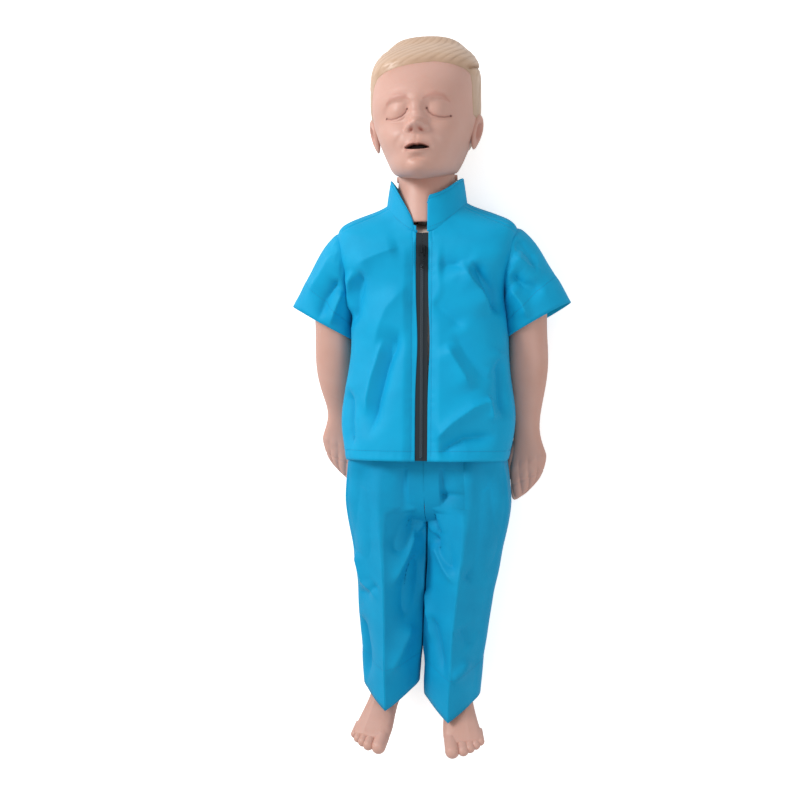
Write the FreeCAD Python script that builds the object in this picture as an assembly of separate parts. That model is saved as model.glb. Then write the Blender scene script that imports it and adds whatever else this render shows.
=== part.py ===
import FreeCAD, Part
import math
import os
from FreeCAD import Matrix, Placement, Rotation, Vector

# A child-sized resuscitation training manikin, lying on its back on the floor, in millimetres.
# +Z is up and out of the chest, +Y points to the crown of the head, +X is the manikin's left side.
# The origin is on the floor under the small of the back.
# Moulded limbs and head are spline skins over rings of poles. The clothes are thin closed skins
# that are cut from the same stations as the body under them, plus a named ease.

# Cloth and general clearances
cloth = 1.5               # jacket and trouser cloth with its lining
ease = 0.5                # air between cloth and the body where it lies close
running = 0.05            # radial clearance of pins and shafts in their bores
gap = 0.5                 # air between moulded pieces that move on each other
shell_wall = 3.0          # wall of the blow-moulded trunk

# Hips and legs; the hip axis runs across the body
hip_y = -138.0
hip_height = 55.0
hip_radius = 49.0         # rounded top of the thigh about the hip axis
hip_x = 62.0
hip_half = 46.0
hip_socket = 52.0         # radius of the hollow that clears the thigh and its cloth
hip_relief = 56.5         # the pelvis ends this far above the hip axis in front
hip_pin_radius = 6.0
crotch_half = 21.5        # half width of the block between the thighs
crotch_clear = 73.0       # thighs keep outside the crotch block up to this radius
knee_y = -255.0
knee_half = 38.0
calf_y = -300.0
calf_half = 35.0
ankle_y = -385.0
ankle_half = 20.5
ankle_height = 46.0
ankle_x = 42.0
legs_lean = 10.0          # both ankles lie this far to the manikin's right
foot_half = 25.5
heel_behind = 18.0        # heel beyond the ankle
heel_height = 12.0
foot_tilt = 32.0          # degrees that the soles lean away from upright
foot_splay = 12.0         # degrees that the toes point outwards
toe_reach = 17.0
toe_radius = 7.2
big_toe_radius = 9.4

# Shoulders and arms; the shoulder axis points outwards and a little towards the feet
shoulder_x = 111.5
shoulder_y = 191.0
shoulder_height = 62.0
shoulder_tilt = 10.4      # degrees
shoulder_seat = 36.0      # radius of the flat end of the arm
shoulder_pin_radius = 6.0
arm_x = 134.0             # middle of the hanging forearm
upper_arm_half = 25.0
forearm_half = 22.5
wrist_y = -34.0
wrist_half = 13.5
palm_half = 19.5
palm_thick = 10.0
finger_radius = 5.4
thumb_radius = 6.2

# Neck and head; the neck turns about its own axis and the head tilts about a cross axis
neck_radius = 39.0
neck_height = 71.0
neck_seam_y = 235.0
pivot_y = 300.0
pivot_pin_radius = 4.0
head_skin = 4.0           # wall of the soft face
hair_rise = 5.0           # how far the moulded hair stands above the scalp
skull_wall = 3.0
hairline_split = 84.0     # face and hair meet at this height beside the ears
mouth_y = 317.0
mouth_half = 15.5
mouth_gape = 3.9          # half the height of the parted lips
cup_floor = 150.0         # height at which the mouth cup sits on the frame in the head
cup_height = 12.0
airway_radius = 7.0
airway_bore = 5.5
neck_shaft_radius = 12.0
neck_shaft_low = 208.0
neck_shaft_top = 251.0

# Clothes
zip_top_y = 221.0
zip_hem_y = -79.0
zip_top_height = 118.8    # the front of the jacket runs straight between these two heights
zip_hem_height = 131.0
zip_half = 8.0
zip_tape_thick = 0.8
zip_pitch = 3.0
zip_tooth = 2.6
pull_thick = 0.9
collar_rise = 37.0
collar_thick = 2.4
sleeve_radius = 41.5
armhole_radius = 39.5
hem_y = -402.0
crease = 3.0              # how far the pressed crease stands up
waistband_y = -14.0

# Chest mechanism
press_y = 95.0
press_travel = 38.0
plate_length = 96.0
plate_width = 70.0
plate_thick = 4.0
plate_top = 105.0
guide_radius = 13.0
rod_radius = 8.0
spring_radius = 20.0
spring_wire = 2.6         # square section
spring_turns = 6
base_length = 190.0
base_width = 84.0
base_thick = 3.5
base_height = 9.5
screw_radius = 2.0
screw_head = 4.0

# Stations of the trunk, from the crotch to the neck:
# y beside, half width, y in front, height in front, y behind, height behind
trunk_rows = [
    (-163.0, 84.0, -163.0, 72.0, -163.0, 36.0),
    (-154.0, 86.0, -154.0, 88.0, -154.0, 18.0),
    (-136.0, 88.0, -136.0, 100.0, -136.0, 8.0),
    (-110.0, 94.0, -110.0, 106.0, -110.0, 4.0),
    (-75.0, 99.0, -75.0, 107.0, -75.0, 2.5),
    (-30.0, 101.0, -30.0, 107.0, -30.0, 3.5),
    (30.0, 99.0, 30.0, 111.0, 30.0, 4.0),
    (85.0, 95.0, 85.0, 118.0, 85.0, 2.5),
    (130.0, 95.0, 130.0, 119.5, 130.0, 1.5),
    (158.0, 100.5, 156.0, 118.5, 158.0, 1.5),
    (191.0, 108.0, 180.0, 117.5, 188.0, 1.5),
    (222.0, 113.5, 197.0, 117.0, 214.0, 2.0),
    (240.0, 104.0, 207.0, 116.5, 234.0, 3.5),
    (251.0, 79.0, 214.0, 116.0, 248.0, 6.5),
    (260.0, 52.0, 219.0, 115.5, 258.0, 10.0),
]
# Outside of the jacket below the armholes: y beside, half width, y in front, -, y behind, height behind
jacket_rows = [
    (-79.0, 112.5, -80.0, 0, -76.0, -0.6),
    (-56.0, 115.5, -57.0, 0, -54.0, -0.6),
    (-27.0, 117.5, -27.0, 0, -27.0, -0.6),
    (10.0, 114.0, 10.0, 0, 10.0, -0.6),
    (50.0, 108.0, 50.0, 0, 50.0, -0.6),
    (90.0, 103.5, 90.0, 0, 90.0, -0.6),
    (130.0, 101.5, 130.0, 0, 130.0, -0.6),
]
front_power = 2.3
back_power = 3.0

# Stations of a thigh and shin: y, middle x, half width, height in front, height behind
leg_rows = [
    (-70.0, hip_x, hip_half - 1, 103.0, 7.0),
    (-138.0, hip_x, hip_half, 103.0, 7.0),
    (-200.0, 56.0, 43.0, 101.0, 6.0),
    (knee_y, 49.0, knee_half, 90.0, 9.0),
    (calf_y, 45.0, calf_half, 84.0, 8.0),
    (-345.0, 43.0, 27.0, 76.0, 15.0),
    (ankle_y, ankle_x, ankle_half, 70.0, 23.0),
    (-404.0, ankle_x, ankle_half, 66.0, 24.0),
]
# The same for the outside of a trouser leg
trouser_rows = [
    (-70.0, hip_x, 48.6, 105.4, 4.6),
    (-138.0, hip_x, 48.6, 105.4, 4.6),
    (-200.0, 53.5, 47.5, 106.0, 1.0),
    (knee_y, 48.0, 45.0, 104.0, 0.8),
    (-330.0, 44.5, 41.0, 101.0, 0.8),
    (hem_y, ankle_x, 38.0, 97.0, 2.0),
]

# Stations of the head, from under the jaw to the crown, without the hair:
# y in front, height in front, y behind, height behind, half width
head_rows = [
    (284.0, 143.0, 316.0, 24.0, 33.0),
    (287.0, 157.0, 319.0, 13.0, 41.0),
    (295.0, 166.0, 323.0, 9.0, 45.0),
    (305.0, 168.0, 328.0, 7.5, 48.5),
    (317.0, 168.0, 334.0, 7.0, 52.0),
    (328.0, 170.0, 340.0, 7.0, 56.0),
    (339.0, 170.5, 347.0, 7.0, 60.0),
    (350.0, 166.0, 355.0, 7.0, 64.0),
    (361.0, 165.0, 364.0, 7.0, 67.5),
    (372.0, 170.0, 374.0, 8.0, 69.5),
    (384.0, 172.0, 385.0, 9.0, 70.5),
    (398.0, 168.5, 398.0, 11.0, 70.5),
    (414.0, 159.5, 414.0, 15.0, 69.5),
    (430.0, 147.5, 430.0, 21.0, 66.5),
    (445.0, 134.5, 445.0, 30.0, 60.5),
    (459.0, 120.0, 459.0, 43.0, 50.0),
    (469.0, 106.0, 469.0, 58.0, 36.0),
]
crown_bulge = 9.0

# Lung bag: y, half width, half thickness
lung_rows = [
    (160.0, 40.0, 3.0), (170.0, 52.0, 6.5), (185.0, 54.0, 8.0), (198.0, 44.0, 7.5), (206.0, 22.0, 7.2)]

# Edge of the moulded hair round the face: x, y of its left half, from the ear to the middle
hairline = [
    (74.0, 372.0), (71.5, 392.0), (67.0, 406.0), (57.0, 415.0), (42.0, 420.0), (22.0, 426.0), (0.0, 428.0)]

# Stations of an arm: middle x, y, height, direction in degrees from outwards towards the feet,
# half width, half thickness
arm_rows = [
    (123.0, 180.5, 61.0, 34.0, 29.0, 32.0),
    (133.0, 160.0, 58.5, 62.0, 27.0, 29.0),
    (135.0, 134.0, 56.0, 84.0, upper_arm_half + 0.5, 26.5),
    (134.5, 96.0, 51.0, 90.0, upper_arm_half - 2.0, 24.5),
    (arm_x, 40.0, 40.0, 90.0, forearm_half, 22.0),
    (arm_x + 0.5, 5.0, 32.5, 90.0, 17.5, 18.0),
    (arm_x, wrist_y, 24.0, 90.0, wrist_half, 12.0),
    (arm_x, wrist_y - 19.0, 18.0, 90.0, 16.5, 11.0),
    (arm_x + 0.5, wrist_y - 38.0, 14.0, 90.0, palm_half, palm_thick),
    (arm_x + 0.5, wrist_y - 52.0, 12.5, 90.0, palm_half - 1.0, 8.0),
]

left, right = 1, -1


def unit(v):
    return v * (1.0 / v.Length)


def lerp(a, b, t):
    return a + (b - a) * t


def smooth_step(a, b, x):
    t = min(1.0, max(0.0, (x - a) / (b - a)))
    return t * t * (3 - 2 * t)


def oval(centre, half, front, back, side=Vector(1, 0, 0), up=Vector(0, 0, 1), power=2.0, count=28):
    """Ring of poles: half wide along side, front along up and back against it."""
    swell = 3.0 / (2.0 + math.cos(2 * math.pi / count))
    points = []
    for k in range(count):
        angle = 2 * math.pi * k / count
        s, c = math.sin(angle), math.cos(angle)
        across = math.copysign(abs(s) ** (2 / power), s) * half * swell
        along = math.copysign(abs(c) ** (2 / power), c) * (front if c > 0 else back) * swell
        points.append(centre + side * across + up * along)
    return points


def middle(ring):
    total = Vector()
    for p in ring:
        total = total + p
    return total * (1.0 / len(ring))


def shrunk(ring, share, shift=Vector()):
    c = middle(ring)
    return [c + (p - c) * share + shift for p in ring]


def skin(rings, both_ways=False):
    """Cubic spline solid over rings of poles; both_ways joins the last ring to the first."""
    rows, count, degree = len(rings), len(rings[0]), 3
    if both_ways:
        knots = list(range(rows + 1))
        repeats = [1] * len(knots)
    else:
        knots = list(range(rows - degree + 1))
        repeats = [degree + 1] + [1] * (len(knots) - 2) + [degree + 1]
    surface = Part.BSplineSurface()
    surface.buildFromPolesMultsKnots(
        rings, repeats, [1] * (count + 1), knots, list(range(count + 1)), both_ways, True, degree, degree
    )
    solid = Part.Solid(Part.Shell([Part.Face(surface)]))
    if solid.Volume < 0:
        solid.reverse()
    return solid


def closed(rings, edge=0.9):
    """Rings closed at both ends by a nearly flat, slightly rounded end."""
    first, last = rings[0], rings[-1]
    start = [[middle(first)] * len(first), shrunk(first, 0.5), shrunk(first, edge)]
    end = [shrunk(last, edge), shrunk(last, 0.5), [middle(last)] * len(last)]
    return start + rings + end


def face_over(rings, degree=3):
    """Spline face over rings of poles, open at its first and last ring."""
    count = len(rings[0])
    knots = list(range(len(rings) - degree + 1))
    repeats = [degree + 1] + [1] * (len(knots) - 2) + [degree + 1]
    surface = Part.BSplineSurface()
    surface.buildFromPolesMultsKnots(
        rings, repeats, [1] * (count + 1), knots, list(range(count + 1)), False, True, degree, 3
    )
    return Part.Face(surface)


def wall(outer, inner, open_start=True):
    """Thin wall between two skins, with flat edges at its open ends."""
    faces = [face_over(outer), face_over([outer[-1], inner[-1]], 1), face_over(inner)]
    if open_start:
        faces.append(face_over([inner[0], outer[0]], 1))
    shell = Part.Shell(faces)
    shell.sewShape()
    solid = Part.Solid(shell)
    if solid.Volume < 0:
        solid.reverse()
    return solid


def rounded(rings, start_bulge, end_bulge):
    """Rings closed at both ends by domes that stand out by the two bulges."""
    first, last = rings[0], rings[-1]
    back = unit(middle(rings[0]) - middle(rings[1]))
    ahead = unit(middle(rings[-1]) - middle(rings[-2]))
    start = [
        [middle(first) + back * start_bulge] * len(first),
        shrunk(first, 0.45, back * start_bulge),
        shrunk(first, 0.85, back * start_bulge * 0.6),
    ]
    end = [
        shrunk(last, 0.85, ahead * end_bulge * 0.6),
        shrunk(last, 0.45, ahead * end_bulge),
        [middle(last) + ahead * end_bulge] * len(last),
    ]
    return start + rings + end


def box(x0, x1, y0, y1, z0, z1):
    return Part.makeBox(x1 - x0, y1 - y0, z1 - z0, Vector(x0, y0, z0))


def rod(start, end, radius):
    return Part.makeCylinder(radius, (end - start).Length, start, end - start)


def biggest(shape):
    return max(shape.Solids, key=lambda s: s.Volume)


def save(name, shape):
    solids = shape.Solids
    bad = [s for s in solids if not s.isValid() or s.Volume <= 0]
    whole = solids[0] if len(solids) == 1 else Part.makeCompound(solids)
    whole.exportStep(os.path.join("parts", name + ".step"))
    b = whole.BoundBox
    print(
        f"{name:24s} solids {len(solids):3d} bad {len(bad)} volume {whole.Volume / 1000:9.2f} cm3 "
        f"x {b.XMin:7.1f} {b.XMax:7.1f} y {b.YMin:7.1f} {b.YMax:7.1f} z {b.ZMin:6.1f} {b.ZMax:6.1f}"
    )


def body_ring(row, grow=0.0, count=32):
    """Ring of poles round the trunk; its front, sides and back may lie at different y."""
    y_side, half, y_front, z_front, y_back, z_back = row
    swell = 3.0 / (2.0 + math.cos(2 * math.pi / count))
    mid, depth = (z_front + z_back) / 2, (z_front - z_back) / 2 + grow
    points = []
    for k in range(count):
        angle = 2 * math.pi * k / count
        s, c = math.sin(angle), math.cos(angle)
        power = front_power if c > 0 else back_power
        x = math.copysign(abs(s) ** (2 / power), s) * (half + grow) * swell
        z = mid + math.copysign(abs(c) ** (2 / power), c) * depth * swell
        y = s * s * y_side + c * c * (y_front if c > 0 else y_back)
        points.append(Vector(x, y, z))
    return points


def leg_ring(row, side, grow=0.0, ridge=0.0, count=24):
    """Ring of poles round one leg; ridge lifts the front pole into a crease."""
    y, x, half, front, back = row
    reach = smooth_step(hip_y, hem_y, y)
    centre = Vector(side * x - legs_lean * reach, y, (front + back) / 2)
    depth = (front - back) / 2 + grow
    ring = oval(centre, half + grow, depth, depth, power=2.2, count=count)
    ring[0] = ring[0] + Vector(0, 0, ridge)
    return ring


def across(radius, x0, x1, y=hip_y, z=hip_height):
    """Cylinder about a cross axis, by default the hip axis."""
    return rod(Vector(x0, y, z), Vector(x1, y, z), radius)


def hip_hollow(radius, x0, x1):
    """Room for one thigh at every angle: round behind, and cut straight up in front."""
    room = across(radius, x0, x1).fuse(box(x0, x1, -200, hip_y, -20, 150))
    return room.fuse(box(x0, x1, -200, hip_y + hip_relief, hip_height, 150))


def hip_round(radius):
    """Space below the hip axis, with a half cylinder above it towards the head."""
    low, high = Vector(-150, hip_y, hip_height - radius), Vector(-150, hip_y, hip_height + radius)
    arc = Part.Arc(low, Vector(-150, hip_y + radius, hip_height), high).toShape()
    corners = [high, Vector(-150, hip_y, 200), Vector(-150, -600, 200), Vector(-150, -600, -50),
               Vector(-150, hip_y, -50), low]
    outline = Part.Wire([arc] + Part.makePolygon(corners).Edges)
    return Part.Face(outline).extrude(Vector(300, 0, 0))


def shoulder_point(u, side=left):
    lean = math.radians(shoulder_tilt)
    outwards = Vector(side * math.cos(lean), -math.sin(lean), 0)
    return Vector(side * shoulder_x, shoulder_y, shoulder_height) + outwards * u


def shoulder_rod(u0, u1, radius, side=left):
    return rod(shoulder_point(u0, side), shoulder_point(u1, side), radius)


def neck_point(y):
    return Vector(0, y, neck_height)


def make_trunk():
    """Blow-moulded front and back halves, split level with the middle of the sides."""
    split = 62.0
    body = skin(closed([body_ring(r) for r in trunk_rows]))
    hollow = skin(closed([body_ring(r, -shell_wall) for r in trunk_rows[4:12]]))
    for side in (left, right):
        inner, outer = sorted((side * crotch_half, side * 140.0))
        body = body.cut(hip_hollow(hip_socket, inner, outer))
    body = body.cut(rod(neck_point(neck_seam_y - gap), neck_point(300), neck_radius + gap))
    body = body.cut(hollow)
    posts = [(x, press_y + y) for x in (-34.0, 34.0) for y in (-80.0, 80.0)]
    screws = [(x, y) for x, y in ((72.0, -45.0), (74.0, 45.0), (84.0, 135.0))]
    screws = screws + [(-x, y) for x, y in screws]
    front = body.common(box(-150, 150, -200, 300, split, 150))
    back = body.common(box(-150, 150, -200, 300, -20, split))
    for side in (left, right):
        boss = shoulder_rod(-24, -3, 20, side)
        front = front.fuse(boss.common(box(-150, 150, 0, 300, split, 150)))
        back = back.fuse(boss.common(box(-150, 150, 0, 300, -20, split)))
    fill = skin(closed([body_ring(r, -shell_wall / 2) for r in trunk_rows[4:12]]))
    for x, y in screws:
        column = rod(Vector(x, y, 8), Vector(x, y, 115), 6).common(fill)
        front = front.fuse(column.common(box(-150, 150, -200, 300, split, 150)))
        back = back.fuse(column.common(box(-150, 150, -200, 300, -20, split)))
        shank = rod(Vector(x, y, 30), Vector(x, y, split + 14), screw_radius + running)
        front = front.cut(shank)
        back = back.cut(shank).cut(rod(Vector(x, y, -5), Vector(x, y, 34), screw_head + 2 * running))
    for x, y in posts:
        post = rod(Vector(x, y, 0), Vector(x, y, base_height), 6)
        back = back.fuse(post.common(fill))
    for side in (left, right):
        seat = shoulder_rod(-4, 30, 60, side)
        bore = shoulder_rod(-30, 0, 12 + running, side)
        front = front.cut(seat).cut(bore)
        back = back.cut(seat).cut(bore)
    window_x, window_y = plate_width / 2 + gap, plate_length / 2 + gap
    front = front.cut(box(-window_x, window_x, press_y - window_y, press_y + window_y, split, 150))
    shaft = rod(neck_point(150), neck_point(260), 12 + running)
    pin = across(hip_pin_radius + running, -80, 80)
    save("trunk_front_shell", biggest(front.cut(shaft)))
    save("trunk_back_shell", biggest(back.cut(shaft).cut(pin)))
    heads = [
        rod(Vector(x, y, 30), Vector(x, y, 34), screw_head).fuse(
            rod(Vector(x, y, 34), Vector(x, y, split + 13), screw_radius)
        )
        for x, y in screws
    ]
    save("trunk_screws", Part.makeCompound(heads))
    save("hip_shaft", across(hip_pin_radius, -hip_x, hip_x))
    for side, name in ((left, "left"), (right, "right")):
        bush = shoulder_rod(-24, -4, 12, side).cut(shoulder_rod(-30, 0, shoulder_pin_radius + running, side))
        save("shoulder_bush_" + name, bush)
        bolt = shoulder_rod(-24, 18, shoulder_pin_radius, side).fuse(shoulder_rod(-28, -24, 11, side))
        save("shoulder_bolt_" + name, bolt)
    return body


def press_point(height):
    return Vector(0, press_y, height)


def make_chest():
    """Spring-loaded plate under the chest skin, on a rod that slides in a guide."""
    skin_pad = skin(closed([body_ring(r) for r in trunk_rows]))
    half_x, half_y = plate_width / 2, plate_length / 2
    pad = skin_pad.common(box(-half_x, half_x, press_y - half_y, press_y + half_y, plate_top, 150))
    save("chest_skin", pad)
    plate_bottom = plate_top - plate_thick
    plate = box(-half_x, half_x, press_y - half_y, press_y + half_y, plate_bottom, plate_top)
    upright = [e for e in plate.Edges if e.BoundBox.ZLength > plate_thick / 2]
    save("sternum_plate", plate.makeFillet(8, upright))
    base_top = base_height + base_thick
    rod_bottom = base_top + 1 + press_travel
    guide_top = plate_bottom - press_travel - 1
    save("piston_rod", rod(press_point(rod_bottom), press_point(plate_bottom), rod_radius))
    guide = rod(press_point(base_top), press_point(guide_top), guide_radius)
    guide = guide.fuse(rod(press_point(base_top), press_point(base_top + 2), guide_radius + 3))
    guide = guide.cut(rod(press_point(0), press_point(guide_top + 5), rod_radius + running))
    save("piston_guide", guide)
    plate_y = base_length / 2
    base = box(-base_width / 2, base_width / 2, press_y - plate_y, press_y + plate_y, base_height, base_top)
    base = base.makeFillet(10, [e for e in base.Edges if e.BoundBox.ZLength > base_thick / 2])
    for x in (-34.0, 34.0):
        for y in (-80.0, 80.0):
            hole = rod(Vector(x, press_y + y, 0), Vector(x, press_y + y, 30), screw_radius + running)
            base = base.cut(hole)
    save("base_plate", base)
    save("return_spring", make_spring(base_top, plate_bottom))


def make_spring(bottom, top):
    """Return spring between the base and the plate, square wire in an open helix."""
    height = top - bottom - spring_wire - 2 * running
    helix = Part.makeHelix(height / spring_turns, height, spring_radius)
    half = spring_wire / 2
    low, high = spring_radius - half, spring_radius + half
    corners = [Vector(low, 0, -half), Vector(high, 0, -half), Vector(high, 0, half), Vector(low, 0, half)]
    section = Part.makePolygon(corners + [corners[0]])
    spring = Part.Wire(helix.Edges).makePipeShell([section], True, True)
    spring.translate(Vector(0, press_y, bottom + half + running))
    return spring


def make_leg(side, name):
    leg = skin(closed([leg_ring(r, side) for r in leg_rows]))
    leg = leg.common(hip_round(hip_radius))
    leg = leg.fuse(make_foot(side))
    leg = leg.cut(across(crotch_clear, -crotch_half - 2 * gap, crotch_half + 2 * gap))
    leg = leg.cut(across(hip_pin_radius + running, -hip_x - 1, hip_x + 1))
    save("leg_" + name, biggest(leg))


def make_foot(side):
    """Foot in its own axes: along the sole from the heel, away from the sole, and across."""
    tilt = math.radians(foot_tilt)
    splay = math.radians(foot_splay) * side
    along = Vector(0, -math.sin(tilt), math.cos(tilt))
    spread = Vector(math.sin(splay), 0, 0)
    along = unit(along + spread)
    sole = Vector(0, -math.cos(tilt), -math.sin(tilt))
    sole = unit(sole - along * sole.dot(along))
    across_foot = sole.cross(along) * -side
    heel = Vector(side * ankle_x - legs_lean, ankle_y - heel_behind, heel_height)

    def place(s, x, lift):
        return heel + along * s + across_foot * x - sole * lift

    stations = [
        (0.0, 0.0, 14.0, 15.0, 17.0),
        (9.0, 0.0, 18.0, 18.0, 21.0),
        (24.0, 0.0, 19.0, 19.0, 23.0),
        (44.0, 0.0, 19.5, 18.0, 20.0),
        (62.0, 1.0, 21.0, 15.5, 16.0),
        (80.0, 1.5, 24.0, 12.0, 12.5),
        (96.0, 1.0, foot_half, 9.5, 9.5),
        (106.0, 0.5, foot_half - 1.5, 8.0, 8.5),
    ]
    rings = [
        oval(place(s, -x, lift), half, thick, thick, across_foot, sole * -1, 2.3, 20)
        for s, x, half, lift, thick in stations
    ]
    foot = skin(rounded(rings, 9.0, 3.0))
    toes = [(-16.5, big_toe_radius, 0.0), (-2.5, toe_radius, 1.0), (6.5, toe_radius - 0.6, -2.0),
            (14.5, toe_radius - 1.2, -5.5), (21.0, toe_radius - 1.6, -10.5)]
    for x, radius, reach in toes:
        root = place(98 + reach, x, 8.5)
        tip = place(98 + toe_reach + reach, x * 1.02, 7.0)
        foot = foot.fuse(rod(root, tip, radius)).fuse(Part.makeSphere(radius, tip))
    return foot


def make_trouser_leg(side, name):
    outer = [leg_ring(r, side, 0.0, crease) for r in trouser_rows]
    inner = [leg_ring(r, side, -cloth, crease) for r in trouser_rows]
    cloth_tube = wall(outer, inner)
    cloth_tube = cloth_tube.common(hip_round(hip_radius + ease + cloth + 0.5))
    cloth_tube = cloth_tube.cut(across(crotch_clear + 2, -crotch_half - 2.5 * gap, crotch_half + 2.5 * gap))
    save("trouser_leg_" + name, biggest(cloth_tube))


def make_trouser_seat():
    """Seat of the trousers round the pelvis, with the strip that passes between the thighs."""
    rows = [r for r in trunk_rows if r[0] < waistband_y]
    rows.append((waistband_y, 100.6, waistband_y, 107.8, waistband_y, 3.5))
    outer = [body_ring(r, ease + cloth) for r in rows]
    inner = [body_ring(r, ease) for r in rows]
    outer[0] = shrunk(outer[0], 1.0, Vector(0, -2.4, 0))
    inner[0] = shrunk(inner[0], 1.0, Vector(0, -1.2, 0))
    first = shrunk(outer[0], 0.55, Vector(0, -2, 0))
    last = shrunk(inner[0], 0.55, Vector(0, -2, 0))
    outer = [[middle(first)] * len(first), first] + [outer[0]] + outer[1:]
    inner = [[middle(last)] * len(last), last] + [inner[0]] + inner[1:]
    whole = wall(outer, inner, False)
    for side in (left, right):
        inside, outside = sorted((side * crotch_half, side * 140.0))
        whole = whole.cut(hip_hollow(hip_socket + ease, inside, outside))
    save("trousers_seat", biggest(whole))


def make_arm(side, name):
    rings = []
    for u in (-3.5, 4.0):
        normal = shoulder_point(1, side) - shoulder_point(0, side)
        top = Vector(-normal.y * side, normal.x * side, 0)
        radius = shoulder_seat if u < 0 else shoulder_seat - 1.0
        rings.append(oval(shoulder_point(u, side), radius, radius, radius, top, count=20))
    for x, y, z, turn, half, thick in arm_rows:
        angle = math.radians(turn)
        across_arm = Vector(side * math.sin(angle), math.cos(angle), 0)
        rings.append(oval(Vector(side * x, y, z), half, thick, thick, across_arm, count=20))
    arm = skin(closed(rings))
    arm = arm.fuse(make_fingers(side))
    arm = arm.cut(shoulder_rod(-10, 19, shoulder_pin_radius + running, side))
    save("arm_" + name, biggest(arm))


def make_fingers(side):
    root_y = wrist_y - 48.0
    fingers = [(-13.5, 0.0, 40.0), (-4.6, 1.0, 46.0), (4.3, 0.0, 43.0), (12.8, -3.0, 34.0)]
    hand = None
    for x, drop, length in fingers:
        centre_x = side * (arm_x + 0.5 + x)
        fan = side * x * 0.12
        root = Vector(centre_x, root_y, 13.0)
        knuckle = Vector(centre_x + fan * 0.5, root_y - length * 0.5, 12.5)
        tip = Vector(centre_x + fan, root_y - length, 7.5)
        parts = [rod(root, knuckle, finger_radius + 0.4), Part.makeSphere(finger_radius + 0.4, knuckle),
                 rod(knuckle, tip, finger_radius), Part.makeSphere(finger_radius, tip)]
        for p in parts:
            hand = p if hand is None else hand.fuse(p)
    base = Vector(side * (arm_x - 10), wrist_y - 22, 16.0)
    joint = Vector(side * (arm_x - 16.0), wrist_y - 42, 13.5)
    end = Vector(side * (arm_x - 17.0), wrist_y - 62, 9.5)
    for p in [rod(base, joint, thumb_radius + 1), Part.makeSphere(thumb_radius + 1, joint),
              Part.makeSphere(thumb_radius + 1, base), rod(joint, end, thumb_radius),
              Part.makeSphere(thumb_radius, end)]:
        hand = hand.fuse(p)
    return hand


def zip_line(y):
    """Height of the outside of the jacket on the middle line, straight from neck to hem."""
    return lerp(zip_hem_height, zip_top_height, (y - zip_hem_y) / (zip_top_y - zip_hem_y))


def jacket_stations():
    """Jacket below the armholes as given, and above them close over the trunk."""
    grow = ease + cloth
    rows = [row for row in trunk_rows if row[0] > jacket_rows[-1][0] + 20]
    upper = []
    for y_side, half, y_front, z_front, y_back, z_back in rows:
        shoulder = smooth_step(shoulder_y + 20, shoulder_y + 50, y_side) * grow
        upper.append((y_side + shoulder, half + grow, y_front, 0, y_back + shoulder, z_back - grow))
    stations = jacket_rows + upper
    return [(ys, half, yf, zip_line(yf), yb, zb) for ys, half, yf, zf, yb, zb in stations]


def make_jacket():
    rows = jacket_stations()
    outer = [body_ring(r) for r in rows]
    inner = [body_ring(r, -cloth) for r in rows]
    jacket = wall(outer, inner)
    for side in (left, right):
        jacket = jacket.cut(shoulder_rod(-30, 40, armhole_radius, side))
    jacket = jacket.cut(box(-zip_half, zip_half, -120, 240, 90, 160))
    jacket = jacket.cut(box(-200, 200, -200, 300, -20, 0))
    save("jacket_body", biggest(jacket))


def make_collar():
    """Stand collar: high at the sides of the neck, low behind the head and at the front."""
    count = 24

    def ring(share, offset):
        points = []
        for k in range(count):
            angle = 2 * math.pi * k / count
            s, c = math.sin(angle), math.cos(angle)
            front, back = max(0.0, c), max(0.0, -c)
            beside = abs(s) ** 1.5
            rise = collar_rise * beside + 5.0 * front**2 + 7.0 * back**2
            base_half = lerp(53.5, 48.5, share * beside)
            base_y = 261.8 * s * s + front**2 * 223.4 + back**2 * 258.2
            depth = lerp(48.5, 46.0, share) if c > 0 else lerp(58.5, 54.0, share)
            points.append(Vector(s * (base_half + offset), base_y + rise * share, 70 + c * (depth + offset)))
        return points

    outer = [ring(share, collar_thick) for share in (0.0, 0.35, 0.7, 1.0)]
    inner = [ring(share, 0.0) for share in (0.0, 0.35, 0.7, 1.0)]
    collar = wall(outer, inner)
    collar = collar.cut(box(-zip_half, zip_half, 100, 300, 80, 160))
    save("jacket_collar", biggest(collar))


def make_sleeve(side, name):
    stations = [
        (0.0, 0.0, 0.0, shoulder_tilt, sleeve_radius, sleeve_radius),
        (122.5, 170.0, 61.5, 25.0, 42.0, 38.5),
        (137.0, 138.0, 58.0, 44.0, 43.5, 33.5),
        (149.5, 107.5, 52.0, 61.0, 48.6, 32.6),
    ]
    outer, inner = [], []
    for x, y, z, turn, half, thick in stations:
        angle = math.radians(turn)
        across_sleeve = Vector(side * math.sin(angle), math.cos(angle), 0)
        centre = Vector(side * x, y, z) if x else shoulder_point(gap + 0.1, side)
        outer.append(oval(centre, half, thick, thick, across_sleeve, count=24))
        inner.append(oval(centre, half - cloth, thick - cloth, thick - cloth, across_sleeve, count=24))
    save("sleeve_" + name, wall(outer, inner))


def zip_strip(x0, x1, low, high, y0=zip_hem_y, y1=zip_top_y - 2):
    """Strip that follows the front of the jacket, between two heights above it."""
    steps = 20
    ys = [lerp(y0, y1, k / steps) for k in range(steps + 1)]
    upper = [Vector(x0, y, zip_line(y) + high) for y in ys]
    lower = [Vector(x0, y, zip_line(y) + low) for y in reversed(ys)]
    face = Part.Face(Part.makePolygon(upper + lower + [upper[0]]))
    return face.extrude(Vector(x1 - x0, 0, 0))


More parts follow.
